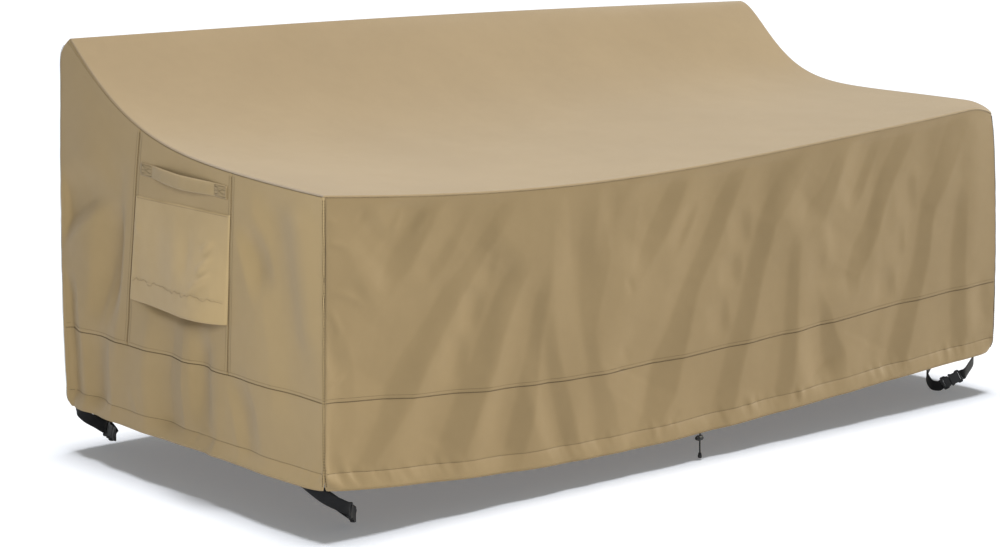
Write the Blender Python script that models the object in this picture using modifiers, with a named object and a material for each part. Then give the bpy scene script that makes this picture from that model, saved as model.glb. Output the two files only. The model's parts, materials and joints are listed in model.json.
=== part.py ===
"""Outdoor sofa cover: a fitted cover of coated cloth, hanging as it does over a three-seat sofa.

The cover is hollow and open underneath. Its pieces are a top panel, a front and a back panel,
three panels on each side, a lower band all round with its hem, a carrying handle and a vent flap
on each side, a webbing strap with a clip buckle for each sofa leg, and a drawcord at the front hem
with its cord lock and cord end.

Sizes are in metres. The cover's own coordinates have x along its length from the middle, y from
the front face to the back, and z up from the hem's corners. One empty carries every piece and puts
the origin at the point under the ridge where the sofa's back holds the cover up.
"""

import math
from collections import namedtuple

import bmesh
import bpy
from mathutils import Matrix, Vector

# Driving dimensions
LENGTH = 2.13
DEPTH = 0.943
RIDGE_HEIGHT = 0.826
RIDGE_INSET = 0.040
ARM_LEFT = 0.590
ARM_RIGHT = 0.628
SEAM_HEIGHT = 0.180
HEM_HEIGHT = 0.036

SHEET = 0.002  # coated cloth with its seam allowances
GAP = 0.0003  # between neighbouring pieces
SEAM_DROP = 0.0005  # from the top panel's underside to a wall's upper edge
RIDGE_DROP = 0.003  # the same along the ridge, where the top panel slopes

# Shape of the top
FRONT_SAG = 0.049  # how far the front edge hangs between the arms
SAG_SKEW = 0.45  # moves the lowest point towards the left arm
LIFT_LEFT = 0.060
LIFT_RIGHT = 0.002
LIFT_MIDDLE = 0.070
RISE_LEFT = 6.0
RISE_RIGHT = 10.0
RISE_MIDDLE = -1.6
CREST_LEFT = 0.35  # how far the top levels out at the ridge, up to 1
CREST_RIGHT = 1.0
RIDGE_BOW = 0.008  # how much higher the ridge stands at its middle
CORNER_DROP = 0.022  # how far the front right corner is rounded down
CORNER_REACH = 0.100

# Shape of the walls
SEAM_SHARE = 0.30  # share of a wall's height that lies in the lower band
RIDGE_ROUND = 0.93  # share of the height above which the back leans forward
RIDGE_PULL = 8  # power by which that lean fades along a side
CORNER_LEAN_X = 0.018
CORNER_LEAN_Y = 0.020
CORNER_LEAN_SHARE = 0.35
CORNER_PINCH = 0.010  # how much further in the front right corner lies at its very top
REAR_SWELL = 0.007
HEM_TUCK = 0.012
TUCK_REACH = 0.050
RIDGE_SHARE = 0.085  # how far cloth stands out between two folds, per metre between them
RIDGE_MOST = 0.014
FOLD_FADE = 0.12  # share of the height over which a fold fades in or out
TOP_FADE = 0.10

Fold = namedtuple("Fold", "top low depth start end pieces")
"""One fold line down a wall. top and low are its places at the top edge and at the hem, depth is
how far it sinks in, start and end are the shares of the height between which it shows, and pieces
is how many columns of faces lie between it and the next one."""

# On the front and back, top and low are metres from the middle of the length.
FRONT_FOLDS = (
    Fold(top=-1.065, low=-1.065, depth=0.000, start=0.00, end=1.00, pieces=3),
    Fold(top=-0.965, low=-1.045, depth=0.006, start=0.70, end=1.10, pieces=3),
    Fold(top=-0.790, low=-1.025, depth=0.009, start=0.60, end=1.10, pieces=4),
    Fold(top=-0.580, low=-1.000, depth=0.013, start=-0.2, end=1.10, pieces=4),
    Fold(top=-0.500, low=-0.780, depth=0.013, start=-0.2, end=0.78, pieces=3),
    Fold(top=-0.440, low=-0.580, depth=0.011, start=-0.2, end=0.72, pieces=3),
    Fold(top=-0.415, low=-0.375, depth=0.010, start=-0.2, end=0.46, pieces=2),
    Fold(top=-0.385, low=-0.283, depth=0.008, start=-0.2, end=1.10, pieces=3),
    Fold(top=-0.060, low=-0.240, depth=0.010, start=0.56, end=1.10, pieces=3),
    Fold(top=0.105, low=-0.190, depth=0.014, start=-0.2, end=1.10, pieces=4),
    Fold(top=0.270, low=0.062, depth=0.014, start=-0.2, end=1.10, pieces=3),
    Fold(top=0.325, low=0.250, depth=0.010, start=-0.2, end=0.68, pieces=3),
    Fold(top=0.360, low=0.495, depth=0.011, start=-0.2, end=0.62, pieces=4),
    Fold(top=0.640, low=0.535, depth=0.011, start=0.36, end=1.10, pieces=2),
    Fold(top=0.715, low=0.610, depth=0.009, start=-0.2, end=0.90, pieces=2),
    Fold(top=0.835, low=0.675, depth=0.012, start=-0.2, end=1.10, pieces=3),
    Fold(top=0.955, low=0.900, depth=0.007, start=-0.2, end=1.10, pieces=3),
    Fold(top=1.065, low=1.065, depth=0.000, start=0.00, end=1.00, pieces=0),
)
BACK_FOLDS = (
    Fold(top=-1.065, low=-1.065, depth=0.000, start=0.10, end=1.00, pieces=2),
    Fold(top=-1.015, low=-1.015, depth=0.000, start=0.10, end=1.00, pieces=3),
    Fold(top=-0.560, low=-0.660, depth=0.007, start=-0.2, end=0.85, pieces=4),
    Fold(top=-0.090, low=-0.140, depth=0.006, start=-0.2, end=0.80, pieces=4),
    Fold(top=0.350, low=0.420, depth=0.008, start=-0.2, end=0.85, pieces=3),
    Fold(top=0.740, low=0.800, depth=0.006, start=-0.2, end=0.80, pieces=3),
    Fold(top=1.015, low=1.015, depth=0.000, start=0.10, end=1.00, pieces=2),
    Fold(top=1.065, low=1.065, depth=0.000, start=0.10, end=1.00, pieces=0),
)
# On a side, top and low are shares of the depth, from the front. Two of the lines are the
# upright seams, which lie flat.
FRONT_SEAM = 2
REAR_SEAM = 4
SIDE_FOLDS = (
    Fold(top=0.000, low=0.000, depth=0.000, start=0.42, end=0.98, pieces=2),
    Fold(top=0.192, low=0.034, depth=0.008, start=0.38, end=0.98, pieces=2),
    Fold(top=0.318, low=0.3516, depth=0.000, start=-0.2, end=0.44, pieces=2),
    Fold(top=0.427, low=0.427, depth=0.008, start=-0.2, end=0.44, pieces=3),
    Fold(top=0.669, low=0.763, depth=0.000, start=-0.2, end=0.44, pieces=1),
    Fold(top=0.719, low=0.883, depth=0.006, start=0.20, end=0.90, pieces=5),
    Fold(top=1.000, low=1.000, depth=0.000, start=0.42, end=0.98, pieces=0),
)

PANEL_ROWS = (0.0, 0.18, 0.36, 0.54, 0.72, 0.88, 1.0)
RIDGE_ROWS = (0.0, 0.20, 0.42, 0.64, 0.80, 0.90, 0.94, 0.975, 1.0)
BAND_ROWS = (0.0, HEM_HEIGHT / SEAM_HEIGHT, 0.6, 1.0)
TOP_COLUMNS = 22

# Handle on each side: a strip sewn flat at both ends and bowed out between them
HANDLE_REAR = 0.626
HANDLE_FRONT = 0.316
HANDLE_REAR_Z = 0.571
HANDLE_FRONT_Z = 0.557
HANDLE_WIDTH = 0.028
HANDLE_SHEET = 0.0025
HANDLE_SEWN = 0.044
HANDLE_BOW = 0.016
HANDLE_COLUMNS = 14

# Vent flap on each side, sewn along its top and in the two upright seams
FLAP_TOP = 0.512
FLAP_LOW = 0.284
FLAP_BOW = 0.020
FLAP_COLUMNS = 8
FLAP_ROWS = 5
FLAP_EDGE = 0.002  # from the middle of an upright seam to the flap's edge

# Leg straps
WEBBING_WIDTH = 0.025
WEBBING_SHEET = 0.0016
WEBBING_STEPS = 12
BUCKLE_LENGTH = 0.053
BUCKLE_SHARE = 0.58  # of the length that is the socket
BUCKLE_THICK = 0.009
BUCKLE_BEVEL = 0.0012

RoutePoint = namedtuple("RoutePoint", "x y z")
"""A point on the middle line of a strap at the left side; the right side mirrors it."""
SEWN_Y = DEPTH - SHEET - GAP - WEBBING_SHEET / 2  # where a strap lies against the back wall

FRONT_OUTER = (
    RoutePoint(x=-1.0646, y=0.120, z=0.020),
    RoutePoint(x=-1.0627, y=0.090, z=0.018),
    RoutePoint(x=-1.0570, y=0.062, z=0.004),
    RoutePoint(x=-1.0330, y=0.036, z=-0.022),
    RoutePoint(x=-1.0020, y=0.0265, z=-0.041),
)
FRONT_CLIP = (
    RoutePoint(x=-0.9770, y=0.0295, z=-0.0555),
    RoutePoint(x=-0.9410, y=0.0605, z=-0.0800),
)
FRONT_INNER = (
    RoutePoint(x=-0.9330, y=0.088, z=-0.083),
    RoutePoint(x=-0.9480, y=0.115, z=-0.064),
    RoutePoint(x=-0.9800, y=0.126, z=-0.038),
    RoutePoint(x=-1.0180, y=0.129, z=-0.010),
    RoutePoint(x=-1.0500, y=0.136, z=0.012),
    RoutePoint(x=-1.0655, y=0.155, z=0.020),
    RoutePoint(x=-1.0675, y=0.180, z=0.021),
)
REAR_OUTER = (
    RoutePoint(x=-1.0540, y=0.918, z=0.010),
    RoutePoint(x=-1.0565, y=0.908, z=0.002),
    RoutePoint(x=-1.0560, y=0.897, z=-0.009),
    RoutePoint(x=-1.0450, y=0.8845, z=-0.022),
    RoutePoint(x=-1.0240, y=0.8805, z=-0.036),
)
REAR_CLIP = (
    RoutePoint(x=-1.0020, y=0.8835, z=-0.052),
    RoutePoint(x=-0.9660, y=0.9100, z=-0.0765),
)
REAR_INNER = (
    RoutePoint(x=-0.9480, y=0.9290, z=-0.0850),
    RoutePoint(x=-0.9560, y=0.9370, z=-0.0690),
    RoutePoint(x=-0.9720, y=0.9390, z=-0.0460),
    RoutePoint(x=-0.9870, y=SEWN_Y, z=-0.0220),
    RoutePoint(x=-1.0010, y=SEWN_Y, z=0.0020),
)

# Drawcord end under the front hem
CORD_X = -0.0015
CORD_RADIUS = 0.0017
CORD_LOW = -0.0900
CORD_SWAY = 0.0015
CORD_POINTS = 9
LOCK_Z = -0.0565
LOCK_RADIUS = 0.0062
LOCK_HALF = 0.0070
BUTTON_RADIUS = 0.0045
BUTTON_LENGTH = 0.0055
END_RADIUS = 0.0050
END_LENGTH = 0.0135
TURNED_STEPS = 16

# The origin lies under the ridge, this share of the depth back from the front edge.
HOLD_SHARE = 0.970

Paint = namedtuple("Paint", "name color roughness metallic")
CLOTH = Paint("cover_cloth", (0.42, 0.33, 0.21, 1.0), 0.78, 0.0)
TRIM = Paint("handle_cloth", (0.45, 0.36, 0.24, 1.0), 0.78, 0.0)
WEBBING = Paint("strap_webbing", (0.012, 0.012, 0.013, 1.0), 0.85, 0.0)
PLASTIC = Paint("buckle_plastic", (0.016, 0.016, 0.018, 1.0), 0.45, 0.0)
CORD = Paint("drawcord", (0.012, 0.012, 0.013, 1.0), 0.80, 0.0)


# Shape of the cover


def mixed(a, b, share):
    """The value that lies the given share of the way from a to b."""
    return a + (b - a) * share


def eased(value):
    """A share that starts and ends level."""
    value = min(max(value, 0.0), 1.0)
    return value * value * (3 - 2 * value)


def sag(across):
    """How far the front hangs at a share of the length, from the left."""
    skewed = across + SAG_SKEW * across * (1 - across)
    return FRONT_SAG * math.sin(math.pi * skewed)


def front_top(across):
    """Height of the front edge of the top."""
    return mixed(ARM_LEFT, ARM_RIGHT, across) - sag(across)


def ridge_height(across):
    """Height of the ridge."""
    return RIDGE_HEIGHT + RIDGE_BOW * math.sin(math.pi * across)


def corner_drop(across, back):
    """How far the top is rounded down towards its front right corner."""
    along = max(1 - (1 - across) * LENGTH / CORNER_REACH, 0.0)
    behind = max(1 - back * (DEPTH - RIDGE_INSET) / CORNER_REACH, 0.0)
    return CORNER_DROP * (along * behind) ** 2


def top_height(across, back):
    """Height of the top at a share of the length and a share of the way to the ridge."""
    middle = math.sin(math.pi * across)
    low = front_top(across)
    lift = mixed(LIFT_LEFT, LIFT_RIGHT, across) + LIFT_MIDDLE * middle
    rise = mixed(RISE_LEFT, RISE_RIGHT, across) + RISE_MIDDLE * middle
    crest = mixed(CREST_LEFT, CREST_RIGHT, across)
    climb = back**rise * (1 + crest * rise * (1 - back))
    high = ridge_height(across) - low - lift
    return low + lift * back**1.5 + high * climb - corner_drop(across, back)


def shown(fold, height):
    """How much of a fold there is at a share of the height."""
    rising = eased((height - fold.start) / FOLD_FADE)
    falling = eased((fold.end - height) / FOLD_FADE)
    return rising * falling


def place_on(fold, height):
    """Where a fold line lies at a share of the height."""
    return mixed(fold.low, fold.top, height)


def sunk(folds, place, height, unit):
    """How far a wall sinks in at a place along it. unit turns the places into metres."""
    for fold, after in zip(folds, folds[1:]):
        start, stop = place_on(fold, height), place_on(after, height)
        if place <= stop:
            break
    share = min(max((place - start) / (stop - start), 0.0), 1.0)
    here, there = shown(fold, height), shown(after, height)
    standing = min(RIDGE_SHARE * (stop - start) * unit, RIDGE_MOST) * (here + there) / 2
    hollow = fold.depth * here * (1 - eased(share)) + after.depth * there * eased(share)
    at_top = eased((1 - height) / TOP_FADE)
    return at_top * (hollow - standing * math.sin(math.pi * share) ** 2)


def tucked(near, z):
    """How far the hem is drawn in, near metres from a corner."""
    if z >= HEM_HEIGHT or near >= TUCK_REACH:
        return 0.0
    return HEM_TUCK * (1 - z / HEM_HEIGHT) ** 2 * (1 - near / TUCK_REACH) ** 2


def leaned(height):
    """How far forward the back leans at a share of the height."""
    return RIDGE_INSET * max((height - RIDGE_ROUND) / (1 - RIDGE_ROUND), 0.0) ** 3


def wall_height(side, share, height):
    """Real height of a wall at a share along it and a share of its height."""
    if side == "front":
        hem, top = -sag(share), top_height(share, 0.0)
    elif side == "back":
        hem, top = 0.0, ridge_height(share)
    else:
        across = 0.0 if side == "left" else 1.0
        hem, top = 0.0, top_height(across, ridge_share(across, share))
    seam = hem + SEAM_HEIGHT
    if height <= SEAM_SHARE:
        return mixed(hem, seam, height / SEAM_SHARE)
    return mixed(seam, top, (height - SEAM_SHARE) / (1 - SEAM_SHARE))


def front_corner_y(across, height):
    """How far back the front lies before its folds."""
    right = max((across - 0.8) / 0.2, 0.0)
    near = min(across, 1 - across) * LENGTH
    low = height / SEAM_SHARE * SEAM_HEIGHT
    return CORNER_LEAN_Y * (right * height) ** 2 + tucked(near, low)


def back_corner_y(across, height):
    """Where the back lies before its folds."""
    near = min(across, 1 - across) * LENGTH
    low = height / SEAM_SHARE * SEAM_HEIGHT
    return DEPTH - leaned(height) - tucked(near, low)


def side_x(side, share, height):
    """Where a side lies before its folds, at a share of the depth from the front."""
    near = min(share, 1 - share) * DEPTH
    low = height / SEAM_SHARE * SEAM_HEIGHT
    half = LENGTH / 2 - tucked(near, low)
    if side == "right":
        ahead = max(1 - share / CORNER_LEAN_SHARE, 0.0)
        return half - CORNER_LEAN_X * (ahead * height) ** 2 - CORNER_PINCH * (ahead * height) ** 12
    rear = max((share - 0.8) / 0.2, 0.0)
    return -half - REAR_SWELL * rear * math.sin(math.pi * height)


def side_y(across, share, height):
    """How far back a point on a side, or on the top's edge, lies."""
    front = front_corner_y(across, height) * (1 - share)
    return front + share * DEPTH - leaned(height) * share**RIDGE_PULL


def ridge_share(across, share):
    """Share of the way from the top's front edge to the ridge."""
    front = front_corner_y(across, 1.0)
    return (side_y(across, share, 1.0) - front) / (DEPTH - RIDGE_INSET - front)


def side_point(side, share, height):
    """A point on the outside of a side wall."""
    across = 0.0 if side == "left" else 1.0
    outward = -1 if side == "left" else 1
    inset = sunk(SIDE_FOLDS, share, height, DEPTH)
    y = side_y(across, share, height) - tucked((1 - share) * DEPTH, height / SEAM_SHARE * SEAM_HEIGHT)
    return Vector((side_x(side, share, height) - outward * inset, y, wall_height(side, share, height)))


def long_point(side, place, height):
    """A point on the outside of the front or back wall. place is metres from the middle."""
    share = place / LENGTH + 0.5
    corner = 0.0 if side == "front" else 1.0
    inset = SHEET + GAP
    left = side_x("left", corner, height) + inset
    right = side_x("right", corner, height) - inset
    x = mixed(left, right, share)
    if side == "front":
        y = front_corner_y(share, height) + sunk(FRONT_FOLDS, place, height, 1.0)
    else:
        y = back_corner_y(share, height) - sunk(BACK_FOLDS, place, height, 1.0)
    return Vector((x, y, wall_height(side, share, height)))


def top_point(across, share):
    """A point on the outside of the top."""
    left = side_x("left", share, 1.0)
    right = side_x("right", share, 1.0)
    y = side_y(across, share, 1.0)
    return Vector((mixed(left, right, across), y, top_height(across, ridge_share(across, share))))


HOLD_POINT = top_point(0.5, HOLD_SHARE) - Vector((0, 0, SHEET))


# Blender helpers


def cleared_collection(name):
    """A new collection in a scene emptied of its objects."""
    for obj in list(bpy.data.objects):
        bpy.data.objects.remove(obj)
    made = bpy.data.collections.new(name)
    bpy.context.scene.collection.children.link(made)
    return made


COVER = cleared_collection("sofa_cover")
CUTTERS = cleared_collection("cutters")


def material(paint):
    """The Principled material of a paint, made once."""
    found = bpy.data.materials.get(paint.name)
    if found:
        return found
    made = bpy.data.materials.new(paint.name)
    made.use_nodes = True
    shader = made.node_tree.nodes["Principled BSDF"]
    shader.inputs["Base Color"].default_value = paint.color
    shader.inputs["Roughness"].default_value = paint.roughness
    shader.inputs["Metallic"].default_value = paint.metallic
    return made


def holder():
    """The empty that carries every piece and puts the origin at the hold point."""
    empty = bpy.data.objects.new("sofa_cover_frame", None)
    COVER.objects.link(empty)
    empty.location = -HOLD_POINT
    return empty


FRAME = holder()


def added(name, data, paint):
    """A new object that holds the data and hangs on the frame."""
    obj = bpy.data.objects.new(name, data)
    COVER.objects.link(obj)
    obj.parent = FRAME
    data.materials.append(material(paint))
    return obj


def grid_mesh(name, columns, rows, place):
    """A grid with a column of points for each entry of columns and a row for each of rows."""
    bm = bmesh.new()
    across, up = len(columns) - 1, len(rows) - 1
    bmesh.ops.create_grid(bm, x_segments=across, y_segments=up, size=1.0)
    for vert in bm.verts:
        column = round((vert.co.x + 1) / 2 * across)
        row = round((vert.co.y + 1) / 2 * up)
        vert.co = place(columns[column], rows[row])
    bmesh.ops.triangulate(bm, faces=bm.faces[:])
    mesh = bpy.data.meshes.new(name)
    return bm, mesh


def cloth(name, columns, rows, place, inward, paint=CLOTH):
    """A sheet of cloth: the grid, thickened by moving a copy of it along inward."""
    bm, mesh = grid_mesh(name, columns, rows, place)
    grown = bmesh.ops.extrude_face_region(bm, geom=bm.faces[:])
    moved = [part for part in grown["geom"] if isinstance(part, bmesh.types.BMVert)]
    bmesh.ops.translate(bm, vec=inward, verts=moved)
    bmesh.ops.recalc_face_normals(bm, faces=bm.faces[:])
    bm.to_mesh(mesh)
    bm.free()
    mesh.shade_smooth()
    mesh.set_sharp_from_angle(angle=math.radians(50))
    return added(name, mesh, paint)


def spread(stops, counts):
    """The stops with counts[i] even steps between stop i and the next."""
    places = []
    for start, stop, count in zip(stops, stops[1:], counts):
        places += [mixed(start, stop, step / count) for step in range(count)]
    return places + [stops[-1]]


# The walls and the top


def wall_columns(folds):
    """(low, top) places of a wall's columns of points."""
    counts = [fold.pieces for fold in folds[:-1]]
    lows = spread([fold.low for fold in folds], counts)
    tops = spread([fold.top for fold in folds], counts)
    return list(zip(lows, tops))


def cut_edges(side, low_gap, top_gap, point):
    """A wall's place function: a point at a (low, top) column and a share of the height."""

    def place(column, height):
        found = point(side, mixed(column[0], column[1], height), height)
        if height == low_gap:
            found.z += GAP / 2
        if height == top_gap:
            found.z -= GAP / 2
        if height == 1.0:
            found.z -= SHEET + (RIDGE_DROP if side == "back" else SEAM_DROP)
        return found

    return place


def make_panel(name, side, columns, point, inward, rows=PANEL_ROWS):
    rows = [mixed(SEAM_SHARE, 1.0, row) for row in rows]
    cloth(name, columns, rows, cut_edges(side, SEAM_SHARE, None, point), inward)


def make_band(name, side, columns, point, inward):
    rows = [SEAM_SHARE * row for row in BAND_ROWS]
    cloth(name, columns, rows, cut_edges(side, None, SEAM_SHARE, point), inward)


def make_long_walls():
    """The front and the back, each a panel above a band."""
    for side, folds, inward, rows in (
        ("front", FRONT_FOLDS, Vector((0, SHEET, 0)), PANEL_ROWS),
        ("back", BACK_FOLDS, Vector((0, -SHEET, 0)), RIDGE_ROWS),
    ):
        columns = wall_columns(folds)
        make_panel(side + "_panel", side, columns, long_point, inward, rows)
        make_band(side + "_band", side, columns, long_point, inward)


def parted(column, shift):
    """A side column moved by shift metres along the depth."""
    return tuple(place + shift / DEPTH for place in column)


def make_sides():
    """Each side: front, vent and rear panels above one band."""
    columns = wall_columns(SIDE_FOLDS)
    counts = [fold.pieces for fold in SIDE_FOLDS]
    front_seam = sum(counts[:FRONT_SEAM])
    rear_seam = sum(counts[:REAR_SEAM])
    for side, outward in (("left", -1), ("right", 1)):
        inward = Vector((-outward * SHEET, 0, 0))
        front = columns[: front_seam + 1]
        vent = columns[front_seam : rear_seam + 1]
        rear = columns[rear_seam:]
        front[-1] = parted(front[-1], -GAP / 2)
        vent[0] = parted(vent[0], GAP / 2)
        vent[-1] = parted(vent[-1], -GAP / 2)
        rear[0] = parted(rear[0], GAP / 2)
        make_panel(side + "_front_panel", side, front, side_point, inward)
        make_panel(side + "_vent_panel", side, vent, side_point, inward)
        make_panel(side + "_rear_panel", side, rear, side_point, inward, RIDGE_ROWS)
        make_band(side + "_band", side, columns, side_point, inward)


def make_top():
    """The one-piece top, from the front edge up to the ridge. Near the rounded corner its columns
    are those of the front."""
    last = FRONT_FOLDS[-2]
    places = spread((-LENGTH / 2, last.top, LENGTH / 2), (TOP_COLUMNS, last.pieces))
    columns = [place / LENGTH + 0.5 for place in places]
    rows = [top for _, top in wall_columns(SIDE_FOLDS)]
    cloth("top_panel", columns, rows, top_point, Vector((0, 0, -SHEET)))


# Handles and vent flaps


def mirrored(point, side):
    """A point given for the left side, moved to the named side."""
    return Vector((point.x if side == "left" else -point.x, point.y, point.z))


def handle_point(along, up):
    """A point on the outside of the left handle, from its rear end to its front end."""
    y = mixed(HANDLE_REAR, HANDLE_FRONT, along)
    sewn = HANDLE_SEWN / (HANDLE_REAR - HANDLE_FRONT)
    free = (along - sewn) / (1 - 2 * sewn)
    bow = HANDLE_BOW * math.sin(math.pi * min(max(free, 0.0), 1.0)) ** 0.8
    x = -LENGTH / 2 - GAP - HANDLE_SHEET - bow
    z = mixed(HANDLE_REAR_Z, HANDLE_FRONT_Z, along) + HANDLE_WIDTH * (up - 0.5)
    return Vector((x, y, z))


def seam_y(fold, z):
    """Where an upright seam lies at a real height above the lower seam."""
    share = place_on(fold, SEAM_SHARE)
    for _ in range(3):
        top = wall_height("left", share, 1.0)
        height = mixed(SEAM_SHARE, 1.0, (z - SEAM_HEIGHT) / (top - SEAM_HEIGHT))
        share = place_on(fold, height)
    return side_y(0.0, share, height)


def flap_point(along, up):
    """A point on the outside of the left vent flap, from its rear edge to its front edge."""
    z = mixed(FLAP_LOW, FLAP_TOP, up)
    rear = seam_y(SIDE_FOLDS[REAR_SEAM], z) - FLAP_EDGE
    front = seam_y(SIDE_FOLDS[FRONT_SEAM], z) + FLAP_EDGE
    bow = FLAP_BOW * math.sin(math.pi * along) ** 0.8 * (1 - up) ** 1.3
    return Vector((-LENGTH / 2 - GAP - SHEET - bow, mixed(rear, front, along), z))


def make_side_pieces():
    for side, inward in (("left", 1), ("right", -1)):
        along = [step / HANDLE_COLUMNS for step in range(HANDLE_COLUMNS + 1)]
        cloth(
            side + "_handle",
            along,
            (0.0, 1.0),
            lambda a, u, side=side: mirrored(handle_point(a, u), side),
            Vector((inward * HANDLE_SHEET, 0, 0)),
            TRIM,
        )
        along = [step / FLAP_COLUMNS for step in range(FLAP_COLUMNS + 1)]
        up = [step / FLAP_ROWS for step in range(FLAP_ROWS + 1)]
        cloth(
            side + "_vent_flap",
            along,
            up,
            lambda a, u, side=side: mirrored(flap_point(a, u), side),
            Vector((inward * SHEET, 0, 0)),
        )


# Leg straps and buckles


def smooth_route(points, steps):
    """Points read from a smooth curve through the given ones, no further back than the wall."""
    ends = [2 * points[0] - points[1]] + points + [2 * points[-1] - points[-2]]
    route = []
    spans = len(points) - 1
    for step in range(steps + 1):
        span = min(int(step * spans / steps), spans - 1)
        t = step * spans / steps - span
        a, b, c, d = ends[span : span + 4]
        linear = (c - a) * t
        square = (2 * a - 5 * b + 4 * c - d) * t**2
        cubic = (3 * b - a - 3 * c + d) * t**3
        found = b + (linear + square + cubic) / 2
        found.y = min(found.y, SEWN_Y)
        route.append(found)
    return route


def outward_of(direction, turn):
    """The level direction square to a strap's run, away from the leg. turn is 1 or -1."""
    return turn * Vector((-direction.y, direction.x, 0)).normalized()


def make_strap(name, points, turn):
    """A flat webbing strap along a route, its width upright and its ends cut square."""
    route = smooth_route(points, WEBBING_STEPS)
    runs = [after - before for before, after in zip(route, route[2:])]
    runs = [points[1] - points[0]] + runs + [points[-1] - points[-2]]

    def place(step, up):
        run = runs[step].normalized()
        width = outward_of(run, turn).cross(run).normalized()
        return route[step] + width * WEBBING_WIDTH * (up - 0.5)

    bm, mesh = grid_mesh(name, list(range(WEBBING_STEPS + 1)), (0.0, 1.0), place)
    bm.to_mesh(mesh)
    bm.free()
    strap = added(name, mesh, WEBBING)
    thick = strap.modifiers.new("thickness", "SOLIDIFY")
    thick.thickness = WEBBING_SHEET
    thick.offset = 0.0
    return strap


# Half outlines of the two buckle halves, as shares of the length from the strap's end and of half
# the width. The socket is notched where its side windows are.
OutlinePoint = namedtuple("OutlinePoint", "along side")
SOCKET_OUTLINE = (
    OutlinePoint(along=0.00, side=0.86),
    OutlinePoint(along=0.08, side=1.00),
    OutlinePoint(along=0.34, side=1.00),
    OutlinePoint(along=0.44, side=0.78),
    OutlinePoint(along=0.78, side=0.78),
    OutlinePoint(along=0.90, side=0.94),
    OutlinePoint(along=1.00, side=0.94),
)
PLUG_OUTLINE = (
    OutlinePoint(along=0.00, side=0.72),
    OutlinePoint(along=0.30, side=0.80),
    OutlinePoint(along=0.45, side=1.00),
    OutlinePoint(along=0.92, side=1.00),
    OutlinePoint(along=1.00, side=0.88),
)
BUCKLE_HALF_WIDTH = 0.0165


def make_buckle_half(name, outline, start, length, frame):
    """One half of a clip buckle: its outline, extruded to its thickness."""
    curve = bpy.data.curves.new(name, "CURVE")
    curve.dimensions = "2D"
    curve.fill_mode = "BOTH"
    curve.extrude = BUCKLE_THICK / 2 - BUCKLE_BEVEL
    curve.bevel_depth = BUCKLE_BEVEL
    curve.bevel_resolution = 0
    inner = BUCKLE_BEVEL
    near = [(start + inner + p.along * (length - 2 * inner), p.side) for p in outline]
    half = BUCKLE_HALF_WIDTH - BUCKLE_BEVEL
    corners = [(x, side * half) for x, side in near]
    corners += [(x, -y) for x, y in reversed(corners)]
    line = curve.splines.new("POLY")
    line.points.add(len(corners) - 1)
    for point, (x, y) in zip(line.points, corners):
        point.co = (x, y, 0, 1)
    line.use_cyclic_u = True
    buckle = added(name, curve, PLASTIC)
    buckle.matrix_local = frame


def buckle_frame(start, stop, turn):
    """The placement whose x runs from start to stop and whose z points away from the leg."""
    run = (stop - start).normalized()
    away = outward_of(run, turn)
    side = away.cross(run)
    turned = Matrix((run, side, away)).transposed().to_4x4()
    return Matrix.Translation(start) @ turned


def make_legs():
    """Two straps and a clip buckle for each leg."""
    for place, outer, clip, inner in (
        ("front", FRONT_OUTER, FRONT_CLIP, FRONT_INNER),
        ("rear", REAR_OUTER, REAR_CLIP, REAR_INNER),
    ):
        for side, turn in (("left", -1), ("right", 1)):
            name = f"{place}_{side}_"
            start, stop = [mirrored(point, side) for point in clip]
            run = (stop - start).normalized()
            stop = start + run * BUCKLE_LENGTH
            lead = run * 0.010
            first = [mirrored(point, side) for point in outer] + [start - lead, start]
            last = [stop, stop + lead] + [mirrored(point, side) for point in inner]
            make_strap(name + "outer_strap", first, turn)
            make_strap(name + "inner_strap", last, turn)
            socket = BUCKLE_LENGTH * BUCKLE_SHARE
            plug = BUCKLE_LENGTH - socket
            frame = buckle_frame(start, stop, turn)
            make_buckle_half(name + "buckle_socket", SOCKET_OUTLINE, GAP, socket - 1.5 * GAP, frame)
            make_buckle_half(
                name + "buckle_plug", PLUG_OUTLINE, socket + GAP / 2, plug - 1.5 * GAP, frame
            )


# Drawcord end


def hem_under(x):
    """The middle of the front hem's lower edge at x."""
    found = long_point("front", x, 0.0)
    return Vector((x, found.y + SHEET / 2, found.z))


def turned(name, profile, location, axis, paint):
    """A solid turned from (radius, height) points, first and last on its axis."""
    mesh = bpy.data.meshes.new(name)
    bm = bmesh.new()
    points = [bm.verts.new((radius, 0, height)) for radius, height in profile]
    for first, second in zip(points, points[1:]):
        bm.edges.new((first, second))
    bm.to_mesh(mesh)
    bm.free()
    obj = added(name, mesh, paint)
    obj.location = location
    obj.rotation_euler = axis
    spin = obj.modifiers.new("spin", "SCREW")
    spin.steps = TURNED_STEPS
    spin.render_steps = TURNED_STEPS
    spin.use_merge_vertices = True
    spin.merge_threshold = 0.00001
    return obj


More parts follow.
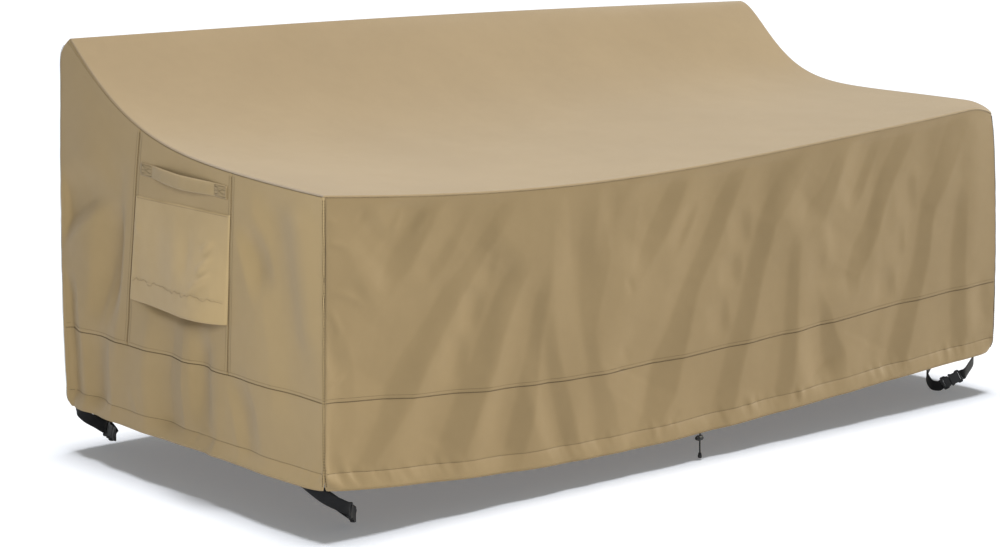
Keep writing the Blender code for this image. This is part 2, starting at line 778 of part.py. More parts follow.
def make_drawcord():
    """The free end of the drawcord, with the cord lock it runs through and its cord end."""
    start = hem_under(CORD_X)
    top = start.z - GAP
    curve = bpy.data.curves.new("drawcord", "CURVE")
    curve.dimensions = "3D"
    curve.bevel_depth = CORD_RADIUS
    curve.bevel_resolution = 2
    curve.use_fill_caps = True
    line = curve.splines.new("POLY")
    line.points.add(CORD_POINTS - 1)
    for step, point in enumerate(line.points):
        share = step / (CORD_POINTS - 1)
        z = mixed(top, CORD_LOW, share)
        below = max((LOCK_Z - LOCK_RADIUS - z) / (LOCK_Z - LOCK_RADIUS - CORD_LOW), 0.0)
        point.co = (CORD_X + CORD_SWAY * below**2, start.y, z, 1)
    added("drawcord", curve, CORD)

    body = (
        (0.0, LOCK_HALF),
        (LOCK_RADIUS * 0.8, LOCK_HALF),
        (LOCK_RADIUS, LOCK_HALF * 0.75),
        (LOCK_RADIUS, -LOCK_HALF),
        (BUTTON_RADIUS, -LOCK_HALF),
        (BUTTON_RADIUS, -LOCK_HALF - BUTTON_LENGTH * 0.8),
        (BUTTON_RADIUS * 0.6, -LOCK_HALF - BUTTON_LENGTH),
        (0.0, -LOCK_HALF - BUTTON_LENGTH),
    )
    lock = turned(
        "cord_lock",
        body,
        (CORD_X, start.y, LOCK_Z),
        (0, math.radians(90), 0),
        PLASTIC,
    )
    bpy.ops.mesh.primitive_cylinder_add(
        vertices=12,
        radius=CORD_RADIUS + GAP,
        depth=4 * LOCK_RADIUS,
        location=(0, 0, 0),
    )
    hole = bpy.context.object
    hole.name = "cord_hole"
    for held in list(hole.users_collection):
        held.objects.unlink(hole)
    CUTTERS.objects.link(hole)
    hole.parent = FRAME
    hole.location = (CORD_X, start.y, LOCK_Z)
    hole.hide_render = True
    hole.display_type = "WIRE"
    cut = lock.modifiers.new("cord_hole", "BOOLEAN")
    cut.operation = "DIFFERENCE"
    cut.object = hole

    bell = (
        (0.0, 0.0),
        (END_RADIUS * 0.55, 0.0),
        (END_RADIUS * 0.75, -END_LENGTH * 0.25),
        (END_RADIUS, -END_LENGTH * 0.65),
        (END_RADIUS * 0.85, -END_LENGTH * 0.92),
        (END_RADIUS * 0.5, -END_LENGTH),
        (0.0, -END_LENGTH),
    )
    place = (CORD_X + CORD_SWAY, start.y, CORD_LOW - GAP)
    turned("cord_end", bell, place, (0, 0, 0), PLASTIC)


make_top()
make_long_walls()
make_sides()
make_side_pieces()
make_legs()
make_drawcord()
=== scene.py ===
"""Looks of the outdoor sofa cover: thin cloth with its folds, seams, stitches, handles, vent flaps,
leg straps with their clip buckles, and the drawcord's end.

Sizes are in metres. The shape's functions work in the cover's own coordinates, as its CAD source
does: x along the length from the middle, y from the front face to the back, and z up from the hem's
corners. ORIGIN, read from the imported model, moves them to the row's frame.
"""

import json
import math
import random
from collections import namedtuple

import bpy
import numpy as np
from mathutils import Matrix, Vector

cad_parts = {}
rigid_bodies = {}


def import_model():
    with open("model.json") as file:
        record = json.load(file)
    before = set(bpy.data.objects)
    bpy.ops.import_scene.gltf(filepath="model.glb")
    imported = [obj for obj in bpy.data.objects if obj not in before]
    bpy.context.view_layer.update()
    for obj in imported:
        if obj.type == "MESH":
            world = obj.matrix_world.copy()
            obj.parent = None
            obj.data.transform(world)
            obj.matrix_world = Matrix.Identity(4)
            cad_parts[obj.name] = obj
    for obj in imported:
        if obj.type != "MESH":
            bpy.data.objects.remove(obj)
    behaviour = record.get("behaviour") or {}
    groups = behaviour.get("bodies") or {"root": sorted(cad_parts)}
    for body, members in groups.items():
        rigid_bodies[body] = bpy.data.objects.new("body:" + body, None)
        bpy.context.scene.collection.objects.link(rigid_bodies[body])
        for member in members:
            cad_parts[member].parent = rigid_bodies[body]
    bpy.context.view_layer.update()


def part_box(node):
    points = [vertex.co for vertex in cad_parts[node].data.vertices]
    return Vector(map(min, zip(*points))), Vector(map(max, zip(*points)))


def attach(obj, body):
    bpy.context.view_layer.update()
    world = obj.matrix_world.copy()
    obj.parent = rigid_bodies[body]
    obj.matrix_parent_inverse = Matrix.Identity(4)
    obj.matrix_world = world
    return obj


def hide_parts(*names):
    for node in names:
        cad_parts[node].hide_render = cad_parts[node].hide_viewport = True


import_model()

# The lowest corner of the left band is the cover's y 0 and z 0.
BAND_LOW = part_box("left_band")[0]
ORIGIN = Vector((0.0, -BAND_LOW[1], -BAND_LOW[2]))

# Driving dimensions, the same as the CAD source's
LENGTH = 2.13
HALF = LENGTH / 2
DEPTH = 0.943
RIDGE_HEIGHT = 0.826
RIDGE_INSET = 0.040
ARM_LEFT = 0.590
ARM_RIGHT = 0.628
SEAM_HEIGHT = 0.180
HEM_HEIGHT = 0.036
SHEET = 0.002
GAP = 0.0003

FRONT_SAG = 0.049
SAG_SKEW = 0.45
LIFT_LEFT = 0.060
LIFT_RIGHT = 0.002
LIFT_MIDDLE = 0.070
RISE_LEFT = 6.0
RISE_RIGHT = 10.0
RISE_MIDDLE = -1.6
CREST_LEFT = 0.35
CREST_RIGHT = 1.0
RIDGE_BOW = 0.008
CORNER_DROP = 0.022
CORNER_REACH = 0.100

SEAM_SHARE = 0.30
RIDGE_ROUND = 0.93
RIDGE_PULL = 8
CORNER_LEAN_X = 0.018
CORNER_LEAN_Y = 0.020
CORNER_LEAN_SHARE = 0.35
CORNER_PINCH = 0.010
REAR_SWELL = 0.007
HEM_TUCK = 0.012
TUCK_REACH = 0.050
RIDGE_SHARE = 0.085
RIDGE_MOST = 0.014
FOLD_FADE = 0.12
TOP_FADE = 0.10

Fold = namedtuple("Fold", "top low depth start end")
"""One fold line down a wall. top and low are its places at the top edge and at the hem, depth is how
far it sinks in, and start and end are the shares of the height between which it shows."""

FRONT_FOLDS = (
    Fold(-1.065, -1.065, 0.000, 0.00, 1.00),
    Fold(-0.965, -1.045, 0.006, 0.70, 1.10),
    Fold(-0.790, -1.025, 0.009, 0.60, 1.10),
    Fold(-0.580, -1.000, 0.013, -0.2, 1.10),
    Fold(-0.500, -0.780, 0.013, -0.2, 0.78),
    Fold(-0.440, -0.580, 0.011, -0.2, 0.72),
    Fold(-0.415, -0.375, 0.010, -0.2, 0.46),
    Fold(-0.385, -0.283, 0.008, -0.2, 1.10),
    Fold(-0.060, -0.240, 0.010, 0.56, 1.10),
    Fold(0.105, -0.190, 0.014, -0.2, 1.10),
    Fold(0.270, 0.062, 0.014, -0.2, 1.10),
    Fold(0.325, 0.250, 0.010, -0.2, 0.68),
    Fold(0.360, 0.495, 0.011, -0.2, 0.62),
    Fold(0.640, 0.535, 0.011, 0.36, 1.10),
    Fold(0.715, 0.610, 0.009, -0.2, 0.90),
    Fold(0.835, 0.675, 0.012, -0.2, 1.10),
    Fold(0.955, 0.900, 0.007, -0.2, 1.10),
    Fold(1.065, 1.065, 0.000, 0.00, 1.00),
)
BACK_FOLDS = (
    Fold(-1.065, -1.065, 0.000, 0.10, 1.00),
    Fold(-1.015, -1.015, 0.000, 0.10, 1.00),
    Fold(-0.560, -0.660, 0.007, -0.2, 0.85),
    Fold(-0.090, -0.140, 0.006, -0.2, 0.80),
    Fold(0.350, 0.420, 0.008, -0.2, 0.85),
    Fold(0.740, 0.800, 0.006, -0.2, 0.80),
    Fold(1.015, 1.015, 0.000, 0.10, 1.00),
    Fold(1.065, 1.065, 0.000, 0.10, 1.00),
)
SIDE_FOLDS = (
    Fold(0.000, 0.000, 0.000, 0.42, 0.98),
    Fold(0.192, 0.034, 0.008, 0.38, 0.98),
    Fold(0.318, 0.3516, 0.000, -0.2, 0.44),
    Fold(0.427, 0.427, 0.008, -0.2, 0.44),
    Fold(0.669, 0.763, 0.000, -0.2, 0.44),
    Fold(0.719, 0.883, 0.006, 0.20, 0.90),
    Fold(1.000, 1.000, 0.000, 0.42, 0.98),
)
FRONT_EDGE, REAR_EDGE = SIDE_FOLDS[0], SIDE_FOLDS[-1]
FRONT_LINE, REAR_LINE = SIDE_FOLDS[2], SIDE_FOLDS[4]  # the seams beside the vent panel

# Creases finer than the folds, all in millimetres. A place is along the wall, a height above the hem.
Crease = namedtuple("Crease", "line slope gentle")
"""A soft crease along a line of (place, height, width) points. Across its width the cloth comes out
steeply, and before that it sinks in gently, over the distance gentle. slope is how steep it is. Below
0, the crease is the mirror image."""

Ridge = namedtuple("Ridge", "line depth half")
"""A low ridge along a line of (place, height) points, or a trough where depth is above 0."""

FRONT_CREASES = (
    Crease(((-905, 530, 40), (-990, 462, 30)), 0.10, 80),
    Crease(((-740, 630, 30), (-865, 463, 58), (-920, 388, 30)), 0.19, 110),
    Crease(((-665, 590, 20), (-760, 452, 28), (-820, 395, 18)), 0.15, 60),
    Crease(((-530, 630, 32), (-675, 449, 36), (-740, 377, 50), (-790, 306, 55), (-832, 249, 68),
            (-870, 185, 74), (-905, 122, 46), (-950, 60, 34), (-1035, -55, 22)), 0.19, 170),
    Crease(((-530, 455, 40), (-560, 413, 46), (-590, 363, 55), (-621, 299, 60), (-646, 234, 65),
            (-675, 177, 65), (-704, 120, 70), (-732, 56, 70), (-790, -60, 70)), 0.18, 130),
    Crease(((-614, 490, 22), (-628, 390, 20)), 0.12, 60),
    Crease(((-640, 395, 28), (-670, 295, 22)), 0.14, 60),
    Crease(((-684, 300, 28), (-710, 190, 26)), 0.13, 60),
    Crease(((-462, 450, 24), (-489, 349, 32), (-500, 299, 32), (-510, 234, 40), (-522, 163, 50),
            (-538, 99, 58), (-562, 34, 50), (-600, -60, 45)), 0.19, 100),
    Crease(((-474, 345, 20), (-454, 234, 35), (-436, 177, 44), (-414, 106, 45), (-396, 49, 42),
            (-362, -60, 38)), 0.18, 70),
    Crease(((-350, 600, 50), (-330, 441, 85), (-345, 334, 56), (-350, 277, 36), (-336, 220, 32),
            (-318, 163, 42), (-289, 91, 60), (-270, -60, 70)), 0.11, 90),
    Crease(((-225, 600, 80), (-255, 400, 60)), 0.08, 60),
    Crease(((-35, 630, 50), (-142, 470, 55), (-212, 372, 28)), 0.18, 110),
    Crease(((-5, 525, 18), (-85, 410, 16)), 0.20, 40),
    Crease(((160, 640, 40), (71, 503, 50), (36, 439, 50), (-18, 356, 46), (-46, 299, 56),
            (-68, 234, 70), (-96, 177, 88), (-112, 120, 88), (-150, 58, 56), (-240, -60, 30)), 0.18, 190),
    Crease(((146, 505, 30), (158, 400, 24)), 0.13, 60),
    Crease(((122, 405, 30), (128, 310, 26)), 0.14, 60),
    Crease(((78, 310, 22), (96, 200, 26)), 0.13, 60),
    Crease(((365, 640, 90), (214, 453, 52), (193, 389, 55), (171, 324, 55), (157, 260, 55),
            (136, 203, 58), (114, 146, 60), (93, 74, 65), (35, -60, 60)), 0.17, 260),
    Crease(((500, 640, 28), (429, 503, 45), (386, 453, 65), (321, 396, 45)), 0.14, 110),
    Crease(((310, 430, 28), (304, 339, 36), (304, 260, 36), (300, 196, 40), (296, 146, 50),
            (289, 89, 52), (275, 31, 52), (245, -60, 50)), 0.15, 200),
    Crease(((382, 280, 20), (421, 203, 32), (443, 131, 54), (466, 89, 66), (490, 20, 34)), 0.21, 100),
    Crease(((628, 630, 28), (543, 481, 32), (497, 436, 30)), 0.17, 80),
    Crease(((765, 660, 60), (643, 503, 52), (614, 446, 50), (586, 381, 52), (552, 335, 60),
            (522, 285, 50), (518, 215, 30)), 0.20, 200),
    Crease(((732, 515, 30), (748, 390, 26)), 0.13, 60),
    Crease(((696, 390, 22), (712, 286, 22)), 0.12, 60),
    Crease(((662, 285, 28), (680, 180, 28)), 0.13, 60),
    Crease(((955, 670, 85), (843, 474, 60), (800, 410, 52), (786, 353, 50), (779, 289, 52),
            (761, 231, 52), (736, 174, 60), (714, 110, 66), (693, 53, 68), (625, -60, 50)), 0.17, 280),
    Crease(((932, 450, 36), (921, 339, 46), (914, 260, 52), (921, 124, 52), (950, -60, 46)), 0.12, 260),
    Crease(((998, 235, 20), (1036, 131, 40), (1052, 70, 30)), 0.10, 60),
    # Beside the front left corner
    Crease(((-1000, 435, 24), (-925, 342, 20)), 0.10, 60),
    Crease(((-1045, 345, 30), (-1002, 240, 36), (-1000, 120, 40)), 0.10, 40),
    Crease(((-1045, 90, 30), (-1000, 10, 24)), 0.10, 30),
)
FRONT_RIDGES = (
    Ridge(((-1060, 497), (-1030, 493), (-1000, 486)), -1.5, 6),
    Ridge(((-1060, 400), (-1020, 396), (-985, 385), (-937, 356)), -1.5, 8),
    Ridge(((-1058, 375), (-1035, 340), (-1020, 305)), -1.8, 8),
    Ridge(((-1060, 212), (-1030, 222), (-1004, 237)), -2.4, 6),
    Ridge(((-1058, 540), (-1035, 536)), -1.4, 5),
    Ridge(((-958, 566), (-985, 528)), 1.2, 8),
    Ridge(((-858, 570), (-890, 510)), -1.4, 9),
    Ridge(((-795, 560), (-835, 505)), -1.4, 9),
    Ridge(((-240, 390), (-214, 345)), 1.6, 10),
    Ridge(((-250, 240), (-210, 186)), 1.8, 14),
    Ridge(((-110, 20), (-60, 66)), 1.6, 8),
    Ridge(((400, 440), (420, 360), (440, 290)), -3, 26),
    Ridge(((330, 20), (345, 40)), -2.6, 10),
)
# On the sides a place is how far behind the front.
SIDE_CREASES = (
    Crease(((290, 500, 24), (248, 425, 36), (215, 340, 30)), 0.44, 60),
    Crease(((220, 620, 40), (190, 450, 50), (150, 250, 60), (130, 90, 40)), 0.08, 110),
    Crease(((330, 190, 26), (285, 100, 34), (245, -40, 30)), 0.29, 60),
    Crease(((438, 300, 26), (446, 160, 34), (440, 40, 30)), 0.34, 50),
    Crease(((492, 290, 40), (520, 130, 60), (500, -40, 70)), -0.33, 90),
    Crease(((702, 500, 24), (722, 360, 34), (744, 210, 30)), -0.55, 90),
    Crease(((735, 505, 20), (820, 462, 36), (900, 415, 46), (960, 360, 46)), -0.42, 110),
    Crease(((745, 400, 16), (780, 290, 22), (800, 190, 22)), -0.34, 50),
    Crease(((790, 220, 40), (790, 100, 60), (780, -60, 70)), -0.31, 70),
    Crease(((905, 330, 36), (900, 150, 56), (895, -60, 60)), -0.36, 60),
)
SIDE_RIDGES = (
    Ridge(((690, 100), (640, 20)), -2, 14),
    Ridge(((340, 286), (500, 274), (660, 288)), 8, 12),
)
BACK_CREASES = (
    Crease(((-800, 700, 50), (-860, 420, 70), (-840, 200, 50)), 0.10, 120),
    Crease(((-300, 640, 50), (-360, 300, 70), (-340, 30, 60)), 0.10, 120),
    Crease(((140, 660, 50), (100, 380, 60), (150, 50, 60)), 0.10, 120),
    Crease(((560, 690, 50), (600, 400, 60), (580, 180, 50)), 0.10, 120),
)
BACK_RIDGES = (
    Ridge(((900, 600), (880, 300)), 2.8, 22),
)

CLOTH_SHEET = 0.0011
CLOTH_PITCH = 0.0065  # between the grid's lines on the walls
TOP_PITCH = 0.0085
BACK_PITCH = 0.0090
EDGE_LINES = (0.0006, 0.0014, 0.0024, 0.0038)  # extra grid lines beside a seam
MARK_LINES = (-0.0030, -0.0014, 0.0, 0.0014, 0.0030)  # the same about a stitched line
CLOSEST_LINES = 0.0004  # a line nearer than this to the last one is left out
ROLL_DEPTH = 0.0030  # how far an edge rolls into its seam
ROLL_WIDTH = 0.0016
LEVEL_ROLL = 0.20  # of that at the long seam, which is flat
TOP_LOWERED = 0.0016  # a wall's top edge, below the edge of the top
BACK_LOWERED = 0.0030  # the back's, further
TOP_FLAT_DEPTH = 1.04
STITCH_DEPTH = 0.0006  # how far a stitched line pulls the cloth in
STITCH_WIDTH = 0.0016
CORNER_FADE = 0.018  # over which the creases fade out at a corner
RELIEF_FADE = 0.030  # over which all fine relief fades out at the top
CREASE_FADE = 0.11  # over which a crease fades out at its ends
CREASE_SKEW = 1.15  # above 1, a crease's steep side starts softly and ends in a crisp edge
FOLD_SHIFT = 0.030  # on the front, from a crease's steep side to the bottom of its fold
# Depth and size of the cloth's soft unevenness
WALL_WAVES = ((0.0008, 0.11), (0.0004, 0.04))
TOP_WAVES = ((0.0016, 0.22), (0.0007, 0.08))
HEM_FLATTER = 0.45  # how much flatter the folds are in the doubled hem
HEM_FLARE = 0.0060  # how far the hem stands out at its edge

HANDLE_REAR = 0.626
HANDLE_FRONT = 0.316
HANDLE_REAR_Z = 0.571
HANDLE_FRONT_Z = 0.557
HANDLE_WIDTH = 0.028
HANDLE_SHEET = 0.0025
HANDLE_SEWN = 0.044
HANDLE_BOW = 0.013
HANDLE_CLOTH = 0.0016
HANDLE_HANG = 0.0030
HANDLE_CROWN = 0.0008  # how much thicker its middle is
HANDLE_EDGE = 0.0012  # how far its edges are rounded down
HANDLE_RIPPLE = 0.0007
HANDLE_LINES = (100, 11)  # its grid's, along and across

FLAP_TOP = 0.512
FLAP_LOW = 0.284
FLAP_BOW = 0.030
FLAP_SKEW = 2.3  # above 1, the belly of the flap lies towards its front
FLAP_EDGE = 0.002
FLAP_STITCH = 0.333
FLAP_ROUGH = 0.0045  # how uneven its rough stitching is
FLAP_LENGTH = 0.33
FLAP_PITCH = 0.005

WEBBING_WIDTH = 0.025
WEBBING_SHEET = 0.0016
WEBBING_CROWN = 0.0004  # how much thinner its edges are
WEBBING_LINES = (60, 9)  # steps along a strap, and lines across it
BUCKLE_LENGTH = 0.053
BUCKLE_SHARE = 0.58
BUCKLE_HALF_WIDTH = 0.0165
BUCKLE_THICK = 0.009
BUCKLE_BEVEL = 0.0012
SLOT_HALF_WIDTH = 0.0016
SLOT_HALF_LENGTH = 0.0120

SEWN_Y = DEPTH - SHEET - GAP - WEBBING_SHEET / 2

Leg = namedtuple("Leg", "outer clip inner")
"""The middle lines of a leg's two straps and of the buckle between them, as x, y and z of their
points at the left side. The right side mirrors them."""

LEGS = {
    "front": Leg(
        outer=((-1.0646, 0.120, 0.020), (-1.0627, 0.090, 0.018), (-1.0570, 0.062, 0.004),
               (-1.0330, 0.036, -0.022), (-1.0020, 0.0265, -0.041)),
        clip=((-0.9770, 0.0295, -0.0555), (-0.9410, 0.0605, -0.0800)),
        inner=((-0.9330, 0.088, -0.083), (-0.9480, 0.115, -0.064), (-0.9800, 0.126, -0.038),
               (-1.0180, 0.129, -0.010), (-1.0500, 0.136, 0.012), (-1.0655, 0.155, 0.020),
               (-1.0675, 0.180, 0.021)),
    ),
    "rear": Leg(
        outer=((-1.0540, 0.918, 0.010), (-1.0565, 0.908, 0.002), (-1.0560, 0.897, -0.009),
               (-1.0450, 0.8845, -0.022), (-1.0240, 0.8805, -0.036)),
        clip=((-1.0020, 0.8835, -0.052), (-0.9660, 0.9100, -0.0765)),
        inner=((-0.9480, 0.9290, -0.0850), (-0.9560, 0.9370, -0.0690), (-0.9720, 0.9390, -0.0460),
               (-0.9870, SEWN_Y, -0.0220), (-1.0010, SEWN_Y, 0.0020)),
    ),
}

CORD_X = -0.0015
CORD_RADIUS = 0.0017
CORD_LOW = -0.0900
CORD_SWAY = 0.0015
LOCK_Z = -0.0565
LOCK_RADIUS = 0.0062
LOCK_HALF = 0.0070
BUTTON_RADIUS = 0.0045
BUTTON_LENGTH = 0.0055
END_RADIUS = 0.0050
END_LENGTH = 0.0135
LOCK_ROUND = 0.0008
END_ROUND = 0.0012

# Camera, as the photograph was taken, in the cover's coordinates
CAMERA_PLACE = Vector((-3.90508, -3.70086, 1.30050))
CAMERA_HEADING = math.radians(41.694)
CAMERA_PITCH = math.radians(-10.445)
CAMERA_ROLL = math.radians(0.771)
CAMERA_LENS = 88.32
CAMERA_SENSOR = 36.0

FLOOR_Z = -0.108
FLOOR_HALF = 45.0


# Shape of the cover: each function takes numbers or arrays of them


def mixed(a, b, share):
    """The value that lies the given share of the way from a to b."""
    return a + (b - a) * share


def eased(value):
    """A share that starts and ends level."""
    value = np.clip(value, 0.0, 1.0)
    return value * value * (3 - 2 * value)


def bell(distance, width):
    """A soft bump, 1 at no distance."""
    return np.exp(-((distance / width) ** 2))


def sag(across):
    """How far the front hangs at a share of the length, from the left."""
    return FRONT_SAG * np.sin(math.pi * (across + SAG_SKEW * across * (1 - across)))


def front_top(across):
    """Height of the front edge of the top."""
    return mixed(ARM_LEFT, ARM_RIGHT, across) - sag(across)


def ridge_height(across):
    """Height of the ridge."""
    return RIDGE_HEIGHT + RIDGE_BOW * np.sin(math.pi * across)


def corner_drop(across, back):
    """How far the top is rounded down towards its front right corner."""
    along = np.maximum(1 - (1 - across) * LENGTH / CORNER_REACH, 0.0)
    behind = np.maximum(1 - back * (DEPTH - RIDGE_INSET) / CORNER_REACH, 0.0)
    return CORNER_DROP * (along * behind) ** 2


def top_height(across, back):
    """Height of the top at a share of the length and a share of the way to the ridge."""
    back = np.maximum(back, 0.0)
    middle = np.sin(math.pi * across)
    low = front_top(across)
    lift = mixed(LIFT_LEFT, LIFT_RIGHT, across) + LIFT_MIDDLE * middle
    rise = mixed(RISE_LEFT, RISE_RIGHT, across) + RISE_MIDDLE * middle
    crest = mixed(CREST_LEFT, CREST_RIGHT, across)
    climb = back**rise * (1 + crest * rise * (1 - back))
    high = ridge_height(across) - low - lift
    return low + lift * back**1.5 + high * climb - corner_drop(across, back)


def shown(fold, height):
    """How much of a fold there is at a share of the height."""
    return eased((height - fold.start) / FOLD_FADE) * eased((fold.end - height) / FOLD_FADE)


def place_on(fold, height):
    """Where a fold line lies at a share of the height."""
    return mixed(fold.low, fold.top, height)


def sunk(folds, place, height, unit):
    """How far a wall sinks in at its folds. unit turns the places into metres."""
    found = np.zeros(np.broadcast(place, height).shape)
    for fold, after in zip(folds, folds[1:]):
        start, stop = place_on(fold, height), place_on(after, height)
        share = np.clip((place - start) / (stop - start), 0.0, 1.0)
        here, there = shown(fold, height), shown(after, height)
        standing = np.minimum(RIDGE_SHARE * (stop - start) * unit, RIDGE_MOST) * (here + there) / 2
        hollow = fold.depth * here * (1 - eased(share)) + after.depth * there * eased(share)
        depth = hollow - standing * np.sin(math.pi * share) ** 2
        found = np.where((place >= start) & (place <= stop), depth, found)
    return eased((1 - height) / TOP_FADE) * found


def from_end(share, length):
    """Metres from the nearer end of a length, at a share of it."""
    return np.minimum(share, 1 - share) * length


def band_rise(height):
    """Metres above the hem at a share of the wall's height, in the band."""
    return height / SEAM_SHARE * SEAM_HEIGHT


def tucked(near, z):
    """How far the hem is drawn in, near metres from a corner."""
    low = np.clip(1 - z / HEM_HEIGHT, 0.0, 1.0)
    beside = np.clip(1 - near / TUCK_REACH, 0.0, 1.0)
    return HEM_TUCK * (low * beside) ** 2


def leaned(height):
    """How far forward the back leans at a share of the height."""
    return RIDGE_INSET * np.maximum((height - RIDGE_ROUND) / (1 - RIDGE_ROUND), 0.0) ** 3


def across_of(side):
    """The share of the length at which a side wall stands."""
    return 0.0 if side == "left" else 1.0


def edge_heights(side, share):
    """Real heights of a wall's hem and top edge at a share along it."""
    if side == "front":
        return -sag(share), top_height(share, 0.0)
    if side == "back":
        return 0.0 * share, ridge_height(share)
    return 0.0 * share, top_height(across_of(side), ridge_share(across_of(side), share))


def wall_height(side, share, height):
    """Real height of a wall at a share along it and a share of its height."""
    hem, top = edge_heights(side, share)
    seam = hem + SEAM_HEIGHT
    low = mixed(hem, seam, height / SEAM_SHARE)
    high = mixed(seam, top, (height - SEAM_SHARE) / (1 - SEAM_SHARE))
    return np.where(height <= SEAM_SHARE, low, high)


def front_corner_y(across, height):
    """How far back the front lies before its folds."""
    right = np.maximum((across - 0.8) / 0.2, 0.0)
    return CORNER_LEAN_Y * (right * height) ** 2 + tucked(from_end(across, LENGTH), band_rise(height))


def back_corner_y(across, height):
    """Where the back lies before its folds."""
    return DEPTH - leaned(height) - tucked(from_end(across, LENGTH), band_rise(height))


def side_x(side, share, height):
    """Where a side lies before its folds, at a share of the depth from the front."""
    half = HALF - tucked(from_end(share, DEPTH), band_rise(height))
    if side == "right":
        ahead = np.maximum(1 - share / CORNER_LEAN_SHARE, 0.0)
        lean = CORNER_LEAN_X * (ahead * height) ** 2
        return half - lean - CORNER_PINCH * (ahead * height) ** 12
    rear = np.maximum((share - 0.8) / 0.2, 0.0)
    return -half - REAR_SWELL * rear * np.sin(math.pi * height)


def side_y(across, share, height):
    """How far back a point on a side, or on the top's edge, lies."""
    front = front_corner_y(across, height) * (1 - share)
    return front + share * DEPTH - leaned(height) * share**RIDGE_PULL


def ridge_share(across, share):
    """Share of the way from the top's front edge to the ridge."""
    front = front_corner_y(across, 1.0)
    return (side_y(across, share, 1.0) - front) / (DEPTH - RIDGE_INSET - front)


def stacked(x, y, z):
    """Points made of three arrays or numbers."""
    return np.stack(np.broadcast_arrays(x, y, z), axis=-1)


# Fine relief of the cloth


def lattice(rows, columns, seed):
    """Even random numbers from -1 to 1."""
    drawn = random.Random(seed)
    return np.array([[drawn.uniform(-1, 1) for _ in range(columns)] for _ in range(rows)])


def uneven(u, v, size, seed):
    """A soft uneven field over two coordinates in metres, from -1 to 1, size metres a cell."""
    cells = 64
    values = lattice(cells, cells, seed)
    a, b = np.broadcast_arrays(np.asarray(u) / size + 20.0, np.asarray(v) / size + 20.0)
    i, j = np.floor(a).astype(int), np.floor(b).astype(int)
    s, t = eased(a - i), eased(b - j)
    i, j, k, m = i % cells, j % cells, (i + 1) % cells, (j + 1) % cells
    low = mixed(values[i, j], values[k, j], s)
    high = mixed(values[i, m], values[k, m], s)
    return mixed(low, high, t)


def waves(u, v, sizes, seed):
    """Soft unevenness of several sizes, each given as its depth and its size."""
    return sum(depth * uneven(u, v, size, seed + index) for index, (depth, size) in enumerate(sizes))


def beside_line(line, place, height):
    """For points on a wall: how far they are from a line of places and heights, below 0 on its
    left, how far along it, from 0 to 1, and its width there if it has one."""
    best = np.full(np.broadcast(place, height).shape, 1e9)
    left = np.zeros(best.shape, bool)
    along, width = np.zeros(best.shape), np.zeros(best.shape)
    spans = len(line) - 1
    for index, (start, stop) in enumerate(zip(line, line[1:])):
        run = (stop[0] - start[0], stop[1] - start[1])
        u, v = place - start[0], height - start[1]
        share = np.clip((u * run[0] + v * run[1]) / (run[0] ** 2 + run[1] ** 2), 0.0, 1.0)
        gap_u, gap_v = u - share * run[0], v - share * run[1]
        gap = gap_u**2 + gap_v**2
        nearer = gap < best
        best = np.where(nearer, gap, best)
        left = np.where(nearer, gap_u < 0, left)
        along = np.where(nearer, (index + share) / spans, along)
        if len(start) > 2:
            width = np.where(nearer, mixed(start[2], stop[2], share), width)
    return np.where(left, -1.0, 1.0) * np.sqrt(best), along, width


def end_fading(along, length):
    """Fades a crease in and out over its ends."""
    reach = min(CREASE_FADE / length, 0.45)
    return eased(along / reach + 0.1) * eased((1 - along) / reach + 0.1)


def length_of(line):
    return sum(math.dist(a[:2], b[:2]) for a, b in zip(line, line[1:]))


def in_metres(line):
    """A crease's line, given in millimetres."""
    return tuple(tuple(value / 1000 for value in point) for point in line)


def crease_depth(crease, place, height):
    """How far one crease sinks the cloth in, at metres along the wall and above the hem."""
    line = in_metres(crease.line)
    beside, along, width = beside_line(line, place, height)
    beside = math.copysign(1.0, crease.slope) * beside
    share = np.clip(beside / width + 0.5, 0.0, 1.0)
    steep = 1 - share**CREASE_SKEW
    gentle = 1 - eased(np.clip((-beside - width / 2) / (crease.gentle / 1000), 0.0, 1.0) ** 1.3)
    depth = np.where(share > 0.0, steep, gentle)
    return abs(crease.slope) * width * end_fading(along, length_of(line)) * depth


def ridge_depth(ridge, place, height):
    """How far one ridge or trough sinks the cloth in."""
    line = in_metres(ridge.line)
    beside, along, _ = beside_line(line, place, height)
    return ridge.depth / 1000 * end_fading(along, length_of(line)) * bell(beside, ridge.half / 1000)


Gather = namedtuple("Gather", "above below depth")
"""Small gathers at a stitched line: how far they reach above and below it, and how deep they are."""
HEM_GATHER = Gather(0.014, 0.026, 0.0026)
SEAM_GATHER = Gather(0.012, 0.012, 0.0007)
CORNER_GATHER = Gather(0.016, 0.016, 0.0012)
FLAP_GATHER = Gather(0.014, 0.016, 0.0024)
GATHER_LEAN = 0.35
FINE_GATHERS = 0.0075  # from one to the next
BROAD_GATHERS = 0.021
GATHERS_PATCH = 0.130  # between the parts of a seam that are gathered more


def puckers(place, height, line, gather, seed):
    """How far the gathers at a stitched line sink the cloth in."""
    fading = bell(height - line, np.where(height > line, gather.above, gather.below))
    lean = place + GATHER_LEAN * (height - line)
    fine = uneven(lean, height * 0.15, FINE_GATHERS, seed)
    broad = uneven(lean, height * 0.10, BROAD_GATHERS, seed + 1)
    patch = 0.55 + 0.45 * uneven(place, height * 0, GATHERS_PATCH, seed + 2)
    return gather.depth * fading * patch * (0.55 * fine + 0.75 * broad)


Wall = namedtuple("Wall", "folds fold_share creases ridges start stop unit seed outward")
"""One wall. fold_share is how much it has of its folds' depth in the solids, since its creases have
the rest. start and stop are the places of its ends, and unit is how many metres a place is."""

